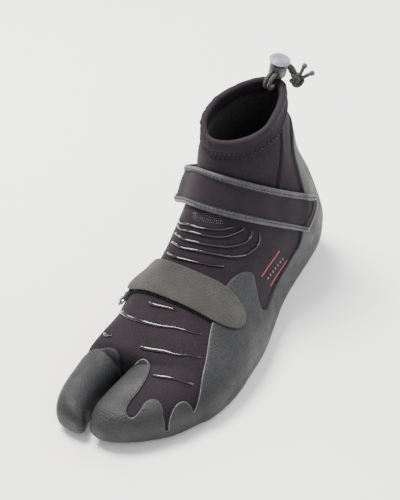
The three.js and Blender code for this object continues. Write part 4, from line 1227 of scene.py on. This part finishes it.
def make_shaft_seam():
    path = curve_through(placed([(21.9, 70.1, 143), (26.3, 78.5, 123.9), (26.9, 84.5, 100)]), 1.0)
    make("shaft_seam_tape", laid_strip(path, 4.6, .6, flat=True), HEM_JERSEY)
    on, up = nearest(path)
    ahead = unit(np.gradient(on, axis=0))
    aside = unit(np.cross(ahead, up))
    crest = on + up * .75
    bars = stitch_shapes(crest - aside * 1.7, crest + aside * 1.7, up, .34, .2)
    make("shaft_seam_bars", bars, DARK_THREAD)
    # Painted shade: a near black line along one side of the tape, standing in for the shade of a groove
    make("shaft_seam_painted_shade", sweep(on - aside * 2.9 + up * .15, .45, 6), DARK_THREAD)


def make_side_mark():
    """Two plain red bars with a row of dots, on the outer side."""
    bars = []
    for ends in ([(31.9, 91.3, 55.4), (33.6, 119.5, 52.2)], [(33.3, 82.9, 41.6), (36.8, 113.2, 40.5)]):
        a, b = placed(ends)
        path = a + np.linspace(0, 1, 16)[:, None] * (b - a)
        bars.append(laid_strip(path, 1.15, .25, flat=True, sink=.15))
    make("side_bars", together(*bars), RED_INK)
    start, end = placed([(33.1, 86.7, 46.9), (35.1, 115, 47)])
    tall = np.linspace(-1.1, 1.1, 6)[:, None] * np.array([0, 0, 1.0])
    widths = [.6, 1.5, 1.8, 1.8, 1.5, .6]
    dots = [laid_strip(start + t * (end - start) + tall, widths, .25, across=7, sink=.15)
            for t in np.linspace(.08, .92, 7)]
    make("side_dots", together(*dots), GREY_INK)


def make_dotted_patch():
    """Small raised dots in five offset rows on the instep."""
    a, b, c, d = placed([(-13.6, 130.4, 97.2), (3.7, 124.1, 99.6), (6.8, 126.5, 93.5), (-10.8, 133.7, 94.6)])
    shapes = []
    for s in np.linspace(0, 1, 15):
        for row, t in enumerate(np.linspace(0, 1, 5)):
            side = min(s + .5 / 14 * (row % 2), 1)
            upper, lower = a * (1 - side) + b * side, d * (1 - side) + c * side
            (foot,), (up,) = nearest([upper * (1 - t) + lower * t])
            shapes.append(sweep([foot + up * high for high in (-.2, .1, .3, .42)], [.5, .5, .38, .1], 7))
    make("grip_dots", together(*shapes), GLOSS)


def make_lock():
    r, h = BARREL_RADIUS, BARREL_HEIGHT
    floor = SLOT_UP - 1
    profile = [(0, 0), (r - 1.6, 0), (r - .4, 1), (r, 2.6), (r, h - 2.6), (r - .35, h - 2.2),
               (r - .35, h - 1.7), (r, h - 1.3), (r, h - .8), (r - .8, h), (BORE_RADIUS, h),
               (BORE_RADIUS, floor), (0, floor)]
    points, faces = turned(rounded(profile, .25), 64)
    shape = on_lock(points), faces
    barrel = make("lock_barrel", shape, ACETAL, ("cord_lock_barrel",), sharp=40)
    a = np.linspace(0, 2 * np.pi, 32, endpoint=False)
    half_w, half_h = SLOT_WIDTH / 2, SLOT_HEIGHT / 2
    flat = np.stack([np.sign(np.cos(a)) * half_w * np.abs(np.cos(a)) ** .5, np.zeros(32),
                     SLOT_UP + half_h + np.sign(np.sin(a)) * half_h * np.abs(np.sin(a)) ** .5], 1)
    tool_points, tool_faces = loft(np.array([flat + [0, y, 0] for y in (-2 * r, 2 * r)]))
    tool_mesh = bpy.data.meshes.new("slot")
    tool_mesh.from_pydata(((on_lock(tool_points) - MIDDLE) / 1000).tolist(), [],
                          [f[:3] if f[2] == f[3] else f for f in tool_faces.tolist()])
    tool = bpy.data.objects.new("slot", tool_mesh)
    bpy.context.scene.collection.objects.link(tool)
    cutter = barrel.modifiers.new("slot", "BOOLEAN")
    cutter.operation, cutter.object, cutter.solver = "DIFFERENCE", tool, "EXACT"
    made = bpy.data.meshes.new_from_object(barrel.evaluated_get(bpy.context.evaluated_depsgraph_get()))
    barrel.modifiers.clear()
    barrel.data = made
    made.set_sharp_from_angle(angle=math.radians(40))
    bpy.data.objects.remove(tool)
    r, b, foot, dome = BUTTON_RADIUS, BUTTON_HEIGHT, h - STEM_IN, h + BUTTON_LIFT
    crown = [(r - .9, 0), (r, .5), (r, 1.1), (r - .35, .35 * b), (r * .8, .68 * b), (r * .62, .82 * b),
             (r * .58, .78 * b), (r * .52, .86 * b), (r * .3, .96 * b), (0, b)]
    profile = [(0, foot), (STEM_RADIUS, foot), (STEM_RADIUS, dome)] + [(x, dome + z) for x, z in crown]
    points, faces = turned(rounded(profile, .3), 64)
    make("lock_button_cap", (on_lock(points), faces), PALE_ACETAL, ("cord_lock_button",),
         body="lock_button", sharp=40)


make_upper()
make_rand()
make_outsole()
make_lining_and_insole()
make_hem()
make_hem_stitches()
make_ribs()
make_forefoot_strap()
make_ring()
make_ankle_strap()
make_back_tab()
make_shaft_seam()
make_side_mark()
make_dotted_patch()
make_lock()


# Floor and lights
# Painted board, rolled: a plain matt white, so that only the boot's shadow shows
def floor_surface():
    material, tree, shader, place = surface("pale_floor", "#fafaf9", .85)
    paint(tree, shader, patch_mix(tree, place, 400, "#f9f9f8", "#fbfbfa", 1.0))
    return material


def make_floor():
    mesh = bpy.data.meshes.new("floor")
    mesh.from_pydata([(-6, -6, 0), (6, -6, 0), (6, 6, 0), (-6, 6, 0)], [], [(0, 1, 2, 3)])
    mesh.materials.append(floor_surface())
    floor = bpy.data.objects.new("floor", mesh)
    bpy.context.scene.collection.objects.link(floor)


def soft_light(name, place, size, power, colour="#ffffff"):
    data = bpy.data.lights.new(name, "AREA")
    data.size, data.energy, data.color = size, power, linear(colour)[:3]
    light = bpy.data.objects.new(name, data)
    light.location = place
    light.rotation_euler = (Vector((0, 0, .06)) - Vector(place)).to_track_quat("-Z", "Y").to_euler()
    bpy.context.scene.collection.objects.link(light)


make_floor()
soft_light("key", (-.4, -.02, 1.25), .5, 44, "#fffaf4")
soft_light("fill", (1.1, -.4, .8), .9, 5, "#f4f6ff")
soft_light("glint", (-.9, .35, .7), .25, 6)
soft_light("back", (.5, 1.1, .8), .7, 14)
world = bpy.data.worlds.new("studio")
world.use_nodes = True
sky = world.node_tree.nodes["Background"].inputs
sky["Color"].default_value = linear("#f2f3f5")
sky["Strength"].default_value = 1.0
bpy.context.scene.world = world
